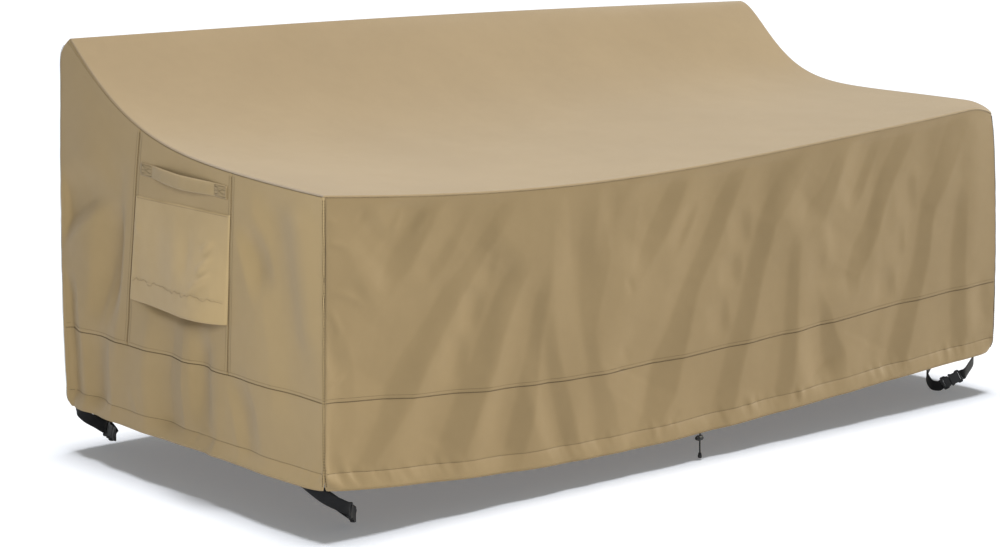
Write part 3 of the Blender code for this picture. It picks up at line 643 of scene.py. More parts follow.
WALLS = {
    "front": Wall(FRONT_FOLDS, 0.15, FRONT_CREASES, FRONT_RIDGES, -HALF, HALF, 1.0, 11, (0, -1, 0)),
    "back": Wall(BACK_FOLDS, 0.60, BACK_CREASES, BACK_RIDGES, -HALF, HALF, 1.0, 23, (0, 1, 0)),
    "left": Wall(SIDE_FOLDS, 0.60, SIDE_CREASES, SIDE_RIDGES, 0.0, 1.0, DEPTH, 37, (-1, 0, 0)),
    "right": Wall(SIDE_FOLDS, 0.60, SIDE_CREASES, SIDE_RIDGES, 0.0, 1.0, DEPTH, 41, (1, 0, 0)),
}
TOP_SEED = 53


def relief(side, place, rise):
    """How far a wall's cloth sinks in, finer than its folds, at metres along the wall and above
    the hem."""
    wall = WALLS[side]
    ends = (wall.start * wall.unit, wall.stop * wall.unit)
    seed = wall.seed
    found = waves(place, rise, WALL_WAVES, seed + 5)
    folds = sum(crease_depth(crease, place, rise) for crease in wall.creases)
    folds = folds + sum(ridge_depth(ridge, place, rise) for ridge in wall.ridges)
    folds = folds * eased(np.minimum(place - ends[0], ends[1] - place) / CORNER_FADE)
    found = found + folds * (1 - HEM_FLATTER * eased((HEM_HEIGHT + 0.010 - rise) / HEM_HEIGHT))
    found = found + puckers(place, rise, HEM_HEIGHT, HEM_GATHER, seed)
    found = found + puckers(place, rise, SEAM_HEIGHT, SEAM_GATHER, seed + 9)
    for line in ends:
        found = found + puckers(rise, place, line, CORNER_GATHER, seed + 13)
    found = found + STITCH_DEPTH * bell(rise - HEM_HEIGHT, STITCH_WIDTH)
    return found - HEM_FLARE * (1 - np.clip(rise / HEM_HEIGHT, 0.0, 1.0))


def wall_points(side, place, height):
    """Points on the outside of a wall. On the front and back, place is metres from the middle. On
    the sides, it is a share of the depth from the front."""
    wall = WALLS[side]
    if side in ("front", "back"):
        share = place / LENGTH + 0.5
        corner = 0.0 if side == "front" else 1.0
        inset = SHEET + GAP
        left = side_x("left", corner, height) + inset
        right = side_x("right", corner, height) - inset
        x = mixed(left, right, share)
        z = wall_height(side, share, height)
        fine = relief(side, place, z - edge_heights(side, share)[0])
        fine = fine * top_fading(side, share, height)
        if side == "front":
            folds = wall.fold_share * sunk(wall.folds, place + FOLD_SHIFT, height, wall.unit)
            return stacked(x, front_corner_y(share, height) + folds + fine, z)
        folds = wall.fold_share * sunk(wall.folds, place, height, wall.unit)
        return stacked(x, back_corner_y(share, height) - folds - fine, z)
    z = wall_height(side, place, height)
    fine = relief(side, place * DEPTH, z) * top_fading(side, place, height)
    inset = wall.fold_share * sunk(wall.folds, place, height, wall.unit) + fine
    y = side_y(across_of(side), place, height)
    y = y - tucked((1 - place) * DEPTH, band_rise(height))
    return stacked(side_x(side, place, height) - wall.outward[0] * inset, y, z)


def top_fading(side, share, height):
    """Fades the fine relief out towards the top seam."""
    top = edge_heights(side, share)[1]
    return eased((top - wall_height(side, share, height)) / RELIEF_FADE)


# Blender helpers


def linked(name, data):
    obj = bpy.data.objects.new(name, data)
    bpy.context.scene.collection.objects.link(obj)
    return obj


def dress(piece, node):
    """Puts a piece in place of a CAD node."""
    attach(piece, "root")
    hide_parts(node)


def grid_object(name, points, metres, flipped, material):
    """A smooth grid of points. metres is the weave's map: how far across and up each point is."""
    rows, columns = points.shape[:2]
    index = np.arange(rows * columns).reshape(rows, columns)
    corners = [index[:-1, :-1], index[:-1, 1:], index[1:, 1:], index[1:, :-1]]
    if flipped:
        corners.reverse()
    faces = np.stack(corners, axis=-1).reshape(-1, 4)
    mesh = bpy.data.meshes.new(name)
    mesh.from_pydata((points.reshape(-1, 3) - np.array(ORIGIN)).tolist(), [], faces.tolist())
    layer = mesh.uv_layers.new(name="weave")
    places = np.stack(metres, axis=-1).reshape(-1, 2)
    layer.uv.foreach_set("vector", places[faces.ravel()].astype(np.float32).ravel())
    mesh.materials.append(material)
    mesh.shade_smooth()
    return linked(name, mesh)


def thickened(obj, thickness):
    """Gives a sheet its thickness, inwards from its outside."""
    solid = obj.modifiers.new("thickness", "SOLIDIFY")
    solid.thickness = thickness
    solid.offset = -1.0
    return obj


def edge_shares(length, pitch, marks=(), low=True, high=True):
    """Shares of a length for a grid's lines: even ones, closer ones beside the ends that are
    seams, and closer ones about each mark."""
    count = max(round(length / pitch), 2)
    places = [length * step / count for step in range(count + 1)]
    if low:
        places += EDGE_LINES
    if high:
        places += [length - near for near in EDGE_LINES]
    for mark in marks:
        places += [mark + beside for beside in MARK_LINES]
    places = sorted(places)
    kept = [places[0]]
    for place in places[1:]:
        if place - kept[-1] > CLOSEST_LINES:
            kept.append(place)
    kept[-1] = length
    return np.array(kept) / length


def rolled(distance):
    """How far a cloth edge turns into its seam."""
    return ROLL_DEPTH * bell(distance, ROLL_WIDTH)


# Materials


def ramp(tree, source, low, high, start, stop):
    """A node that turns a value into a colour between low and high."""
    node = tree.nodes.new("ShaderNodeValToRGB")
    node.color_ramp.elements[0].position = start
    node.color_ramp.elements[0].color = (*low, 1.0)
    node.color_ramp.elements[1].position = stop
    node.color_ramp.elements[1].color = (*high, 1.0)
    tree.links.new(source, node.inputs["Fac"])
    return node.outputs["Color"]


def noise(tree, vector, scale, detail=3.0, roughness=0.55):
    node = tree.nodes.new("ShaderNodeTexNoise")
    node.inputs["Scale"].default_value = scale
    node.inputs["Detail"].default_value = detail
    node.inputs["Roughness"].default_value = roughness
    tree.links.new(vector, node.inputs["Vector"])
    return node.outputs["Fac"]


def bands(tree, vector, direction, period):
    """Even bands, period metres apart."""
    node = tree.nodes.new("ShaderNodeTexWave")
    node.wave_type = "BANDS"
    node.bands_direction = direction
    node.inputs["Scale"].default_value = math.tau / (20.0 * period)
    node.inputs["Distortion"].default_value = 0.0
    tree.links.new(vector, node.inputs["Vector"])
    return node.outputs["Fac"]


def joined(tree, operation, first, second):
    node = tree.nodes.new("ShaderNodeMath")
    node.operation = operation
    for socket, value in zip(node.inputs, (first, second)):
        if isinstance(value, (int, float)):
            socket.default_value = value
        else:
            tree.links.new(value, socket)
    return node.outputs["Value"]


def bumped(tree, height, strength, distance, normal=None):
    node = tree.nodes.new("ShaderNodeBump")
    node.inputs["Strength"].default_value = strength
    node.inputs["Distance"].default_value = distance
    tree.links.new(height, node.inputs["Height"])
    if normal is not None:
        tree.links.new(normal, node.inputs["Normal"])
    return node.outputs["Normal"]


def new_material(name, **settings):
    """A material, its node tree and its shader, whose inputs are set by name."""
    material = bpy.data.materials.new(name)
    material.use_nodes = True
    shader = material.node_tree.nodes["Principled BSDF"]
    for setting, value in settings.items():
        shader.inputs[setting.replace("_", " ")].default_value = value
    return material, material.node_tree, shader


# Scale, detail and roughness of the cloths' noises
PATCHES = (3.2, 4.0, 0.6)
GRAIN = (38.0, 2.0, 0.5)
CRUMPLE = (24.0, 3.0, 0.6)
PATCHES_SHARE = 0.72
GRAIN_SHARE = 0.28


def cloth_material(name, low, high, roughness, sheen, periods, weave_depth):
    """Woven cloth: soft patches of colour, a fine weave and a faint crumple."""
    material, tree, shader = new_material(
        name, Roughness=roughness, Specular_IOR_Level=0.25, Sheen_Weight=sheen, Sheen_Roughness=0.5)
    places = tree.nodes.new("ShaderNodeTexCoord").outputs["Object"]
    weave = tree.nodes.new("ShaderNodeUVMap")
    weave.uv_map = "weave"
    patches, grain = noise(tree, places, *PATCHES), noise(tree, places, *GRAIN)
    broad = joined(tree, "MULTIPLY", patches, PATCHES_SHARE)
    blend = joined(tree, "ADD", broad, joined(tree, "MULTIPLY", grain, GRAIN_SHARE))
    tree.links.new(ramp(tree, blend, low, high, 0.36, 0.64), shader.inputs["Base Color"])
    warp = bands(tree, weave.outputs["UV"], "X", periods[0])
    weft = bands(tree, weave.outputs["UV"], "Y", periods[1])
    threads = joined(tree, "MAXIMUM", warp, weft)
    crumple = bumped(tree, noise(tree, places, *CRUMPLE), 0.10, 0.0010)
    tree.links.new(bumped(tree, threads, 0.35, weave_depth, crumple), shader.inputs["Normal"])
    return material


def plastic_material(name, color, roughness):
    """Moulded plastic with a fine grain."""
    material, tree, shader = new_material(name, Roughness=roughness)
    places = tree.nodes.new("ShaderNodeTexCoord").outputs["Object"]
    worn = noise(tree, places, 120.0, 2.0)
    paler = tuple(value * 1.7 for value in color)
    tree.links.new(ramp(tree, worn, color, paler, 0.4, 0.8), shader.inputs["Base Color"])
    grain = noise(tree, places, 1400.0, 2.0)
    tree.links.new(bumped(tree, grain, 0.3, 0.0001), shader.inputs["Normal"])
    return material


COVER_LOW = (0.324, 0.225, 0.104)
COVER_HIGH = (0.347, 0.242, 0.113)
BLACK = (0.006, 0.006, 0.0065)
WEAVE = (0.0009, 0.0008)  # between the threads, along and across
THREAD_WEAVE = (0.0006, 0.0006)
CLOTH = cloth_material("cover_cloth", COVER_LOW, COVER_HIGH, 0.58, 0.10, WEAVE, 0.00012)
TOP_CLOTH = cloth_material("top_cloth", COVER_LOW, COVER_HIGH, 0.58, 0.24, WEAVE, 0.00012)
# The flap's cloth is a fifth paler than the cover's: partly its own paler cloth, partly painted light for
# the light that its bowed face catches.
FLAP_CLOTH_WITH_PAINTED_LIGHT = cloth_material(
    "flap_cloth", (0.392, 0.275, 0.130), (0.425, 0.300, 0.145), 0.56, 0.10, WEAVE, 0.00012)
TRIM = cloth_material(
    "handle_cloth", (0.300, 0.211, 0.101), (0.330, 0.234, 0.113), 0.58, 0.10, WEAVE, 0.00012)
WEBBING = cloth_material(
    "strap_webbing", BLACK, (0.018, 0.018, 0.019), 0.80, 0.15, (0.0019, 0.0013), 0.0005)
# The dark brown is partly painted shade: darker than the stitches' own thread, it also stands for the
# shade in the seam grooves that the stitches lie in.
THREAD_AND_SEAM_SHADE = cloth_material(
    "seam_thread", (0.045, 0.030, 0.014), (0.085, 0.058, 0.028), 0.70, 0.0, THREAD_WEAVE, 0.00005)
PALE_THREAD = cloth_material(
    "pale_thread", (0.38, 0.29, 0.17), (0.48, 0.37, 0.23), 0.70, 0.1, THREAD_WEAVE, 0.00005)
CORD_CLOTH = cloth_material(
    "drawcord_braid", BLACK, (0.020, 0.020, 0.021), 0.75, 0.1, (0.0012, 0.0012), 0.0003)
PLASTIC = plastic_material("buckle_plastic", BLACK, 0.46)


# Camera


def make_camera():
    data = bpy.data.cameras.new("camera")
    data.sensor_width = CAMERA_SENSOR
    data.lens = CAMERA_LENS
    data.clip_end = 300.0
    camera = linked("camera", data)
    turned = Matrix.Rotation(-CAMERA_HEADING, 4, "Z")
    tilted = Matrix.Rotation(math.radians(90) + CAMERA_PITCH, 4, "X")
    rolled_by = Matrix.Rotation(CAMERA_ROLL, 4, "Z")
    camera.matrix_world = Matrix.Translation(CAMERA_PLACE - ORIGIN) @ turned @ tilted @ rolled_by
    bpy.context.scene.camera = camera


make_camera()


# Drawcord end


def round_object(name, profile, material):
    """A smooth body turned about z from (radius, height) points."""
    mesh = bpy.data.meshes.new(name)
    edges = [(step, step + 1) for step in range(len(profile) - 1)]
    mesh.from_pydata([(radius, 0.0, height) for radius, height in profile], edges, [])
    mesh.materials.append(material)
    obj = linked(name, mesh)
    spin = obj.modifiers.new("spin", "SCREW")
    spin.steps = spin.render_steps = 40
    spin.use_merge_vertices = True
    spin.merge_threshold = 0.00001
    spin.use_smooth_shade = True
    return obj


def corner_points(before, corner, after, radius, steps):
    """Points of a small arc in place of a corner."""
    b, c, a = Vector(before), Vector(corner), Vector(after)
    reach = min(radius, (b - c).length * 0.45, (a - c).length * 0.45)
    start, stop = c + (b - c).normalized() * reach, c + (a - c).normalized() * reach
    shares = [step / steps for step in range(steps + 1)]
    return [start.lerp(c, t).lerp(c.lerp(stop, t), t) for t in shares]


def rounded_profile(points, radius, steps=4):
    """A profile whose inner corners are rounded, as a list of (radius, height) points."""
    found = [points[0]]
    for before, corner, after in zip(points, points[1:], points[2:]):
        arc = corner_points(before, corner, after, radius, steps)
        found += [(max(point.x, 0.0), point.y) for point in arc]
    return found + [points[-1]]


def hem_under(x):
    """The middle of the front hem's lower edge at x."""
    found = wall_points("front", np.array(x), np.array(0.0))
    return Vector((x, found[1] + SHEET / 2, found[2]))


# Shares of the radius and of the height
LOCK_PROFILE = (
    (0.0, 1.0), (0.86, 1.0), (1.0, 0.80), (1.0, 0.20), (0.93, 0.12), (0.93, -0.12), (1.0, -0.20),
    (1.0, -1.0),
)
BUTTON_PROFILE = ((1.0, 0.0), (1.0, -0.85), (0.7, -1.0), (0.0, -1.0))
END_PROFILE = (
    (0.0, 0.0), (0.55, 0.0), (0.75, -0.25), (1.0, -0.65), (0.85, -0.92), (0.5, -1.0), (0.0, -1.0),
)
CORD_POINTS = 18


def scaled(profile, radius, height, start=0.0):
    """A profile given in shares, at its real size."""
    return [(radius * across, start + height * up) for across, up in profile]


def make_drawcord():
    start = hem_under(CORD_X)
    top = start.z - GAP
    body = scaled(LOCK_PROFILE, LOCK_RADIUS, LOCK_HALF)
    button = scaled(BUTTON_PROFILE, BUTTON_RADIUS, BUTTON_LENGTH, -LOCK_HALF)
    lock = round_object("drawcord_lock", rounded_profile(body + button, LOCK_ROUND), PLASTIC)
    lying = Matrix.Rotation(math.radians(90), 4, "Y")
    lock.matrix_world = Matrix.Translation(Vector((CORD_X, start.y, LOCK_Z)) - ORIGIN) @ lying
    bell_shape = scaled(END_PROFILE, END_RADIUS, END_LENGTH)
    end = round_object("drawcord_bell", rounded_profile(bell_shape, END_ROUND), PLASTIC)
    end.matrix_world = Matrix.Translation(Vector((CORD_X + CORD_SWAY, start.y, CORD_LOW - GAP)) - ORIGIN)
    curve = bpy.data.curves.new("drawcord_tail", "CURVE")
    curve.dimensions = "3D"
    curve.bevel_depth = CORD_RADIUS
    curve.bevel_resolution = 5
    curve.use_fill_caps = True
    curve.materials.append(CORD_CLOTH)
    line = curve.splines.new("POLY")
    line.points.add(CORD_POINTS - 1)
    for step, point in enumerate(line.points):
        z = mixed(top, CORD_LOW, step / (CORD_POINTS - 1))
        below = max((LOCK_Z - LOCK_RADIUS - z) / (LOCK_Z - LOCK_RADIUS - CORD_LOW), 0.0)
        place = Vector((CORD_X + CORD_SWAY * below**2, start.y, z)) - ORIGIN
        point.co = (*place, 1.0)
    cord = linked("drawcord_tail", curve)
    dress(cord, "drawcord")
    dress(lock, "cord_lock")
    dress(end, "cord_end")


make_drawcord()


# Walls and top

Cut = namedtuple("Cut", "name node side left right low high width tall")
"""A panel of cloth as it was cut. left and right are fold lines, low and high are shares of the
wall's height, and width and tall are its flat size."""

WHOLE_FRONT = (FRONT_FOLDS[0], FRONT_FOLDS[-1])
WHOLE_BACK = (BACK_FOLDS[0], BACK_FOLDS[-1])


# Of each side: a panel's name, its fold lines and its flat size
SIDE_PANELS = (
    ("front", FRONT_EDGE, FRONT_LINE, 0.31, 0.42),
    ("vent", FRONT_LINE, REAR_LINE, 0.37, 0.46),
    ("rear", REAR_LINE, REAR_EDGE, 0.28, 0.57),
)


def wall_cuts():
    """Every panel and band of the four walls."""
    panel, band = (SEAM_SHARE, 1.0), (0.0, SEAM_SHARE)
    cuts = [
        Cut("front_cloth", "front_panel", "front", *WHOLE_FRONT, *panel, 2.14, 0.42),
        Cut("front_band_cloth", "front_band", "front", *WHOLE_FRONT, *band, 2.14, 0.18),
        Cut("back_cloth", "back_panel", "back", *WHOLE_BACK, *panel, 2.14, 0.67),
        Cut("back_band_cloth", "back_band", "back", *WHOLE_BACK, *band, 2.14, 0.18),
    ]
    for side in ("left", "right"):
        for name, left, right, width, tall in SIDE_PANELS:
            names = (f"{side}_{name}_cloth", f"{side}_{name}_panel")
            cuts.append(Cut(*names, side, left, right, *panel, width, tall))
        names = (side + "_band_cloth", side + "_band")
        cuts.append(Cut(*names, side, FRONT_EDGE, REAR_EDGE, *band, 0.945, 0.18))
    return cuts


def cut_points(cut, across, up):
    """Points of a wall panel at shares across and up it, with its edges rolled into the seams."""
    height = mixed(cut.low, cut.high, up)
    left, right = place_on(cut.left, height), place_on(cut.right, height)
    place = mixed(left, right, across)
    wall = WALLS[cut.side]
    points = wall_points(cut.side, place, height)
    inward = rolled((place - left) * wall.unit) + rolled((right - place) * wall.unit)
    if cut.low > 0.0:
        inward = inward + rolled(up * cut.tall) * LEVEL_ROLL
    inward = inward + rolled((1 - up) * cut.tall) * (1.0 if cut.high == 1.0 else LEVEL_ROLL)
    points = points - np.array(wall.outward) * inward[..., None]
    if cut.high == 1.0:
        lowered = TOP_LOWERED + (BACK_LOWERED if cut.side == "back" else 0.0)
        points[..., 2] -= lowered * eased((up - 0.9) / 0.1)
    return points


def make_walls():
    for cut in wall_cuts():
        pitch = BACK_PITCH if cut.side in ("back", "right") else CLOTH_PITCH
        marks = () if cut.low > 0 else (HEM_HEIGHT,)
        across = edge_shares(cut.width, pitch)
        up = edge_shares(cut.tall, pitch * 0.9, marks, low=cut.low > 0)
        a, u = np.meshgrid(across, up)
        metres = (a * cut.width, u * cut.tall)
        flipped = cut.side in ("back", "left")
        piece = grid_object(cut.name, cut_points(cut, a, u), metres, flipped, CLOTH)
        dress(thickened(piece, CLOTH_SHEET), cut.node)


def top_points(across, share):
    """Points on the outside of the top."""
    left, right = side_x("left", share, 1.0), side_x("right", share, 1.0)
    x = mixed(left, right, across)
    y = side_y(across, share, 1.0)
    z = top_height(across, ridge_share(across, share))
    near = np.minimum(from_end(across, LENGTH), from_end(share, DEPTH))
    inner = eased(near / 0.06)
    z = z + inner * waves(x, y, TOP_WAVES, TOP_SEED)
    return stacked(x, y, z - rolled(near) * 0.9)


def make_top():
    across = edge_shares(LENGTH, TOP_PITCH)
    back = edge_shares(DEPTH, TOP_PITCH)
    a, b = np.meshgrid(across, back)
    metres = (a * LENGTH, b * TOP_FLAT_DEPTH)
    piece = grid_object("top_cloth", top_points(a, b), metres, False, TOP_CLOTH)
    dress(thickened(piece, CLOTH_SHEET), "top_panel")


make_walls()
make_top()


# Handles and vent flaps


def seam_y(fold, z):
    """Where an upright seam lies at a real height above the lower seam."""
    share = place_on(fold, SEAM_SHARE) + 0.0 * z
    for _ in range(3):
        top = edge_heights("left", share)[1]
        height = mixed(SEAM_SHARE, 1.0, (z - SEAM_HEIGHT) / (top - SEAM_HEIGHT))
        share = place_on(fold, height)
    return side_y(0.0, share, height)


def handle_points(along, up):
    """Points on the outside of the left handle, from its rear end to its front end."""
    sewn = HANDLE_SEWN / (HANDLE_REAR - HANDLE_FRONT)
    free = np.clip((along - sewn) / (1 - 2 * sewn), 0.0, 1.0)
    bow = HANDLE_BOW * np.sin(math.pi * free) ** 0.8
    y = mixed(HANDLE_REAR, HANDLE_FRONT, along)
    z = mixed(HANDLE_REAR_Z, HANDLE_FRONT_Z, along) + HANDLE_WIDTH * (up - 0.5)
    hang = np.sin(math.pi * free) ** 2
    z = z - HANDLE_HANG * hang * (1 - 0.5 * up)
    edge = np.abs(2 * up - 1)
    crown = HANDLE_CROWN * (1 - edge**2) - HANDLE_EDGE * edge**6
    ripple = HANDLE_RIPPLE * uneven(y, z, 0.018, 71)
    x = -HALF - GAP - HANDLE_SHEET - bow * (1 - 0.35 * up) - crown - ripple
    return stacked(x, y, z)


FLAP_RIDGES = (
    Ridge(((705, 472), (620, 432)), -4.6, 8),
    Ridge(((708, 430), (640, 388)), -4.6, 8),
    Ridge(((712, 378), (650, 347)), -4.2, 8),
    Ridge(((350, 452), (400, 428)), -4.2, 7),
    Ridge(((352, 420), (410, 380)), -4.9, 8),
    Ridge(((352, 386), (428, 346)), -4.6, 8),
    Ridge(((500, 500), (490, 300)), -3.8, 30),
    Ridge(((570, 480), (560, 330)), 2, 26),
    Ridge(((445, 470), (450, 350)), 2.4, 18),
)


def flap_points(along, up):
    """Points on the outside of the left vent flap, from its rear edge to its front edge."""
    z = mixed(FLAP_LOW, FLAP_TOP, up)
    rear = seam_y(REAR_LINE, z) - FLAP_EDGE
    front = seam_y(FRONT_LINE, z) + FLAP_EDGE
    y = mixed(rear, front, along)
    bow = FLAP_BOW * np.sin(math.pi * along**FLAP_SKEW) ** 0.8 * (1 - up) ** 1.1
    inner = eased(np.minimum(along, 1 - along) / 0.05) * eased((1 - up) / 0.08)
    fine = 0.0008 * uneven(y, z, 0.05, 81)
    for ridge in FLAP_RIDGES:
        fine = fine + ridge_depth(ridge, y, z)
    fine = fine + puckers(y, z, FLAP_STITCH, FLAP_GATHER, 85)
    fine = fine + STITCH_DEPTH * bell(z - FLAP_STITCH, STITCH_WIDTH)
    fine = fine * inner
    width = rear - front
    edges = rolled(along * width) + rolled((1 - along) * width) + rolled(FLAP_TOP - z)
    x = -HALF - GAP - SHEET - bow + fine + 0.6 * edges
    return stacked(x, y, z)


def mirrored(points, side):
    """Points given for the left side, moved to the named side."""
    return points * np.array((1.0 if side == "left" else -1.0, 1.0, 1.0))


def make_side_pieces():
    handle_length = HANDLE_REAR - HANDLE_FRONT
    for side in ("left", "right"):
        flipped = side == "right"
        along, up = np.meshgrid(*(np.linspace(0, 1, count) for count in HANDLE_LINES))
        metres = (along * handle_length, up * HANDLE_WIDTH)
        points = mirrored(handle_points(along, up), side)
        handle = grid_object(side + "_handle_strip", points, metres, flipped, TRIM)
        dress(thickened(handle, HANDLE_CLOTH), side + "_handle")
        flap_height = FLAP_TOP - FLAP_LOW
        along, up = np.meshgrid(
            edge_shares(FLAP_LENGTH, FLAP_PITCH),
            edge_shares(flap_height, FLAP_PITCH, (FLAP_STITCH - FLAP_LOW,), low=False),
        )
        metres = (along * FLAP_LENGTH, up * flap_height)
        points = mirrored(flap_points(along, up), side)
        flap = grid_object(side + "_flap_cloth", points, metres, flipped, FLAP_CLOTH_WITH_PAINTED_LIGHT)
        dress(thickened(flap, CLOTH_SHEET), side + "_vent_flap")


make_side_pieces()


# Leg straps and buckles


def smooth_route(points, steps):
    """Points read from a smooth curve through the given ones, no further back than the wall."""
    ends = [2 * points[0] - points[1]] + points + [2 * points[-1] - points[-2]]
    route = []
    spans = len(points) - 1
    for step in range(steps + 1):
        span = min(int(step * spans / steps), spans - 1)
        t = step * spans / steps - span
        a, b, c, d = ends[span : span + 4]
        linear = (c - a) * t
        square = (2 * a - 5 * b + 4 * c - d) * t**2
        cubic = (3 * b - a - 3 * c + d) * t**3
        found = b + (linear + square + cubic) / 2
        found.y = min(found.y, SEWN_Y)
        route.append(found)
    return route


def outward_of(direction, turn):
    """The level direction square to a strap's run, away from the leg. turn is 1 or -1."""
    return turn * Vector((-direction.y, direction.x, 0)).normalized()


def make_strap(name, node, points, turn):
    """A flat webbing strap along a route, its width upright."""
    steps, lines = WEBBING_LINES
    route = smooth_route(points, steps)
    runs = [after - before for before, after in zip(route, route[2:])]
    runs = [points[1] - points[0]] + runs + [points[-1] - points[-2]]
    ups = np.linspace(0, 1, lines)
    length = sum((b - a).length for a, b in zip(route, route[1:]))
    grid = np.zeros((steps + 1, len(ups), 3))
    for step, (place, run) in enumerate(zip(route, runs)):
        run = run.normalized()
        away = outward_of(run, turn)
        width = away.cross(run).normalized()
        thick = run.cross(width).normalized()
        side = 1 if thick.dot(away) > 0 else -1
        for index, up in enumerate(ups):
            crown = WEBBING_SHEET / 2 - WEBBING_CROWN * abs(2 * up - 1) ** 4
            grid[step, index] = place + width * WEBBING_WIDTH * (up - 0.5) + thick * side * crown
    metres = np.meshgrid(ups * WEBBING_WIDTH, np.linspace(0, length, steps + 1))
    strap = grid_object(name, grid, metres, turn > 0, WEBBING)
    dress(thickened(strap, WEBBING_SHEET), node)


# A half's outline: shares of its length and of half its width
SOCKET_OUTLINE = (
    (0.00, 0.86), (0.08, 1.00), (0.34, 1.00), (0.44, 0.78), (0.78, 0.78), (0.90, 0.94), (1.00, 0.94),
)
PLUG_OUTLINE = ((0.00, 0.72), (0.30, 0.80), (0.45, 1.00), (0.92, 1.00), (1.00, 0.88))
SOCKET_SLOT = 0.16
PLUG_SLOT = 0.72
OUTLINE_ROUND = 0.0022
SLOT_ROUND = 0.0008
STRAIGHT_STRAP = 0.010  # beside a buckle


def rounded_loop(corners, radius, steps=3):
    """A closed outline with its corners rounded."""
    found = []
    for before, corner, after in zip([corners[-1]] + corners, corners, corners[1:] + corners[:1]):
        found += corner_points(before, corner, after, radius, steps)
    return found


def make_buckle_half(name, node, outline, start, length, slot_along, placement):
    """One half of a clip buckle, with the slot that its strap goes through."""
    bevel = BUCKLE_BEVEL
    curve = bpy.data.curves.new(name, "CURVE")
    curve.dimensions = "2D"
    curve.fill_mode = "BOTH"
    curve.extrude = BUCKLE_THICK / 2 - bevel
    curve.bevel_depth = bevel
    curve.bevel_resolution = 3
    curve.materials.append(PLASTIC)
    half = BUCKLE_HALF_WIDTH - bevel
    near = [(start + bevel + along * (length - 2 * bevel), side * half) for along, side in outline]
    corners = near + [(x, -y) for x, y in reversed(near)]
    slot = start + slot_along * length
    signs = ((-1, -1), (1, -1), (1, 1), (-1, 1))
    hole = [(slot + along * SLOT_HALF_WIDTH, across * SLOT_HALF_LENGTH) for along, across in signs]
    for loop in (rounded_loop(corners, OUTLINE_ROUND), rounded_loop(hole, SLOT_ROUND)):
        line = curve.splines.new("POLY")
        line.points.add(len(loop) - 1)
        for point, place in zip(line.points, loop):
            point.co = (place.x, place.y, 0, 1)
        line.use_cyclic_u = True
    buckle = linked(name, curve)
    buckle.matrix_world = placement
    dress(buckle, node)


def buckle_frame(start, stop, turn):
    """The placement whose x runs from start to stop and whose z points away from the leg."""
    run = (stop - start).normalized()
    away = outward_of(run, turn)
    turned = Matrix((run, away.cross(run), away)).transposed().to_4x4()
    return Matrix.Translation(start - ORIGIN) @ turned


def make_legs():
    """Two straps and a clip buckle for each leg. turn is -1 at the left side and 1 at the right."""
    socket = BUCKLE_LENGTH * BUCKLE_SHARE
    plug = BUCKLE_LENGTH - socket
    for place, leg in LEGS.items():
        for side, turn in (("left", -1), ("right", 1)):
            name = f"{place}_{side}_"
            outer, clip, inner = [[Vector((-turn * x, y, z)) for x, y, z in line] for line in leg]
            start = clip[0]
            run = (clip[1] - start).normalized()
            stop = start + run * BUCKLE_LENGTH
            first = outer + [start - run * STRAIGHT_STRAP, start]
            last = [stop, stop + run * STRAIGHT_STRAP] + inner
            make_strap(name + "outer_webbing", name + "outer_strap", first, turn)
            make_strap(name + "inner_webbing", name + "inner_strap", last, turn)
            placement = buckle_frame(start, stop, turn)
            make_buckle_half(name + "clip_socket", name + "buckle_socket", SOCKET_OUTLINE,
                             GAP, socket - 1.5 * GAP, SOCKET_SLOT, placement)
            make_buckle_half(name + "clip_plug", name + "buckle_plug", PLUG_OUTLINE,
                             socket + GAP / 2, plug - 1.5 * GAP, PLUG_SLOT, placement)


make_legs()


# Stitches

Dash = namedtuple("Dash", "pitch length width lift")
SEAM_DASH = Dash(pitch=0.0058, length=0.0048, width=0.0018, lift=0.0006)
EDGE_DASH = Dash(pitch=0.0058, length=0.0034, width=0.0015, lift=0.0006)
FINE_DASH = Dash(pitch=0.0036, length=0.0026, width=0.0011, lift=0.0005)

# How far the stitched lines are from their seams
BELOW_SEAM = 0.0010
FINE_ABOVE_SEAM = 0.0068
# The dark lines at the corners and at the vent seams are stitches, and partly painted shade down these
# seams.
CORNER_STITCH = 0.0016
PALE_CORNER_STITCH = 0.0060
UPRIGHT_STITCH = 0.0014
PALE_STITCH = 0.0050
FINE_STITCH = 0.0090
TOP_STITCH = 0.0050
DASH_SHOULDER = 0.22  # the share of a thread at which it has its full width
CORNER_CLEAR = 0.0045  # from a corner to the level lines
TOP_CLEAR = 0.003
LEVEL_POINTS = 900
UPRIGHT_POINTS = 500
PANEL_POINTS = 400
FLAP_TOP_STITCH = 0.0040
# How far below the flap's rough stitching its dark line of painted shade lies
FLAP_PAINTED_SHADE = 0.0030
SEAM_ENDS = 0.985  # the share of the height at which the upright lines end
BOX_INSET = 0.012  # shares of a handle's length and width
BOX_SIDES = (0.1, 0.9)
BOX_ROWS = 7

# A thread's faces: its corners are one end, two rings of three, and the other end.
DASH_FACES = (
    (0, 2, 1), (0, 3, 2), (0, 1, 3), (1, 2, 5, 4), (2, 3, 6, 5), (3, 1, 4, 6), (7, 4, 5), (7, 5, 6),
    (7, 6, 4),
)


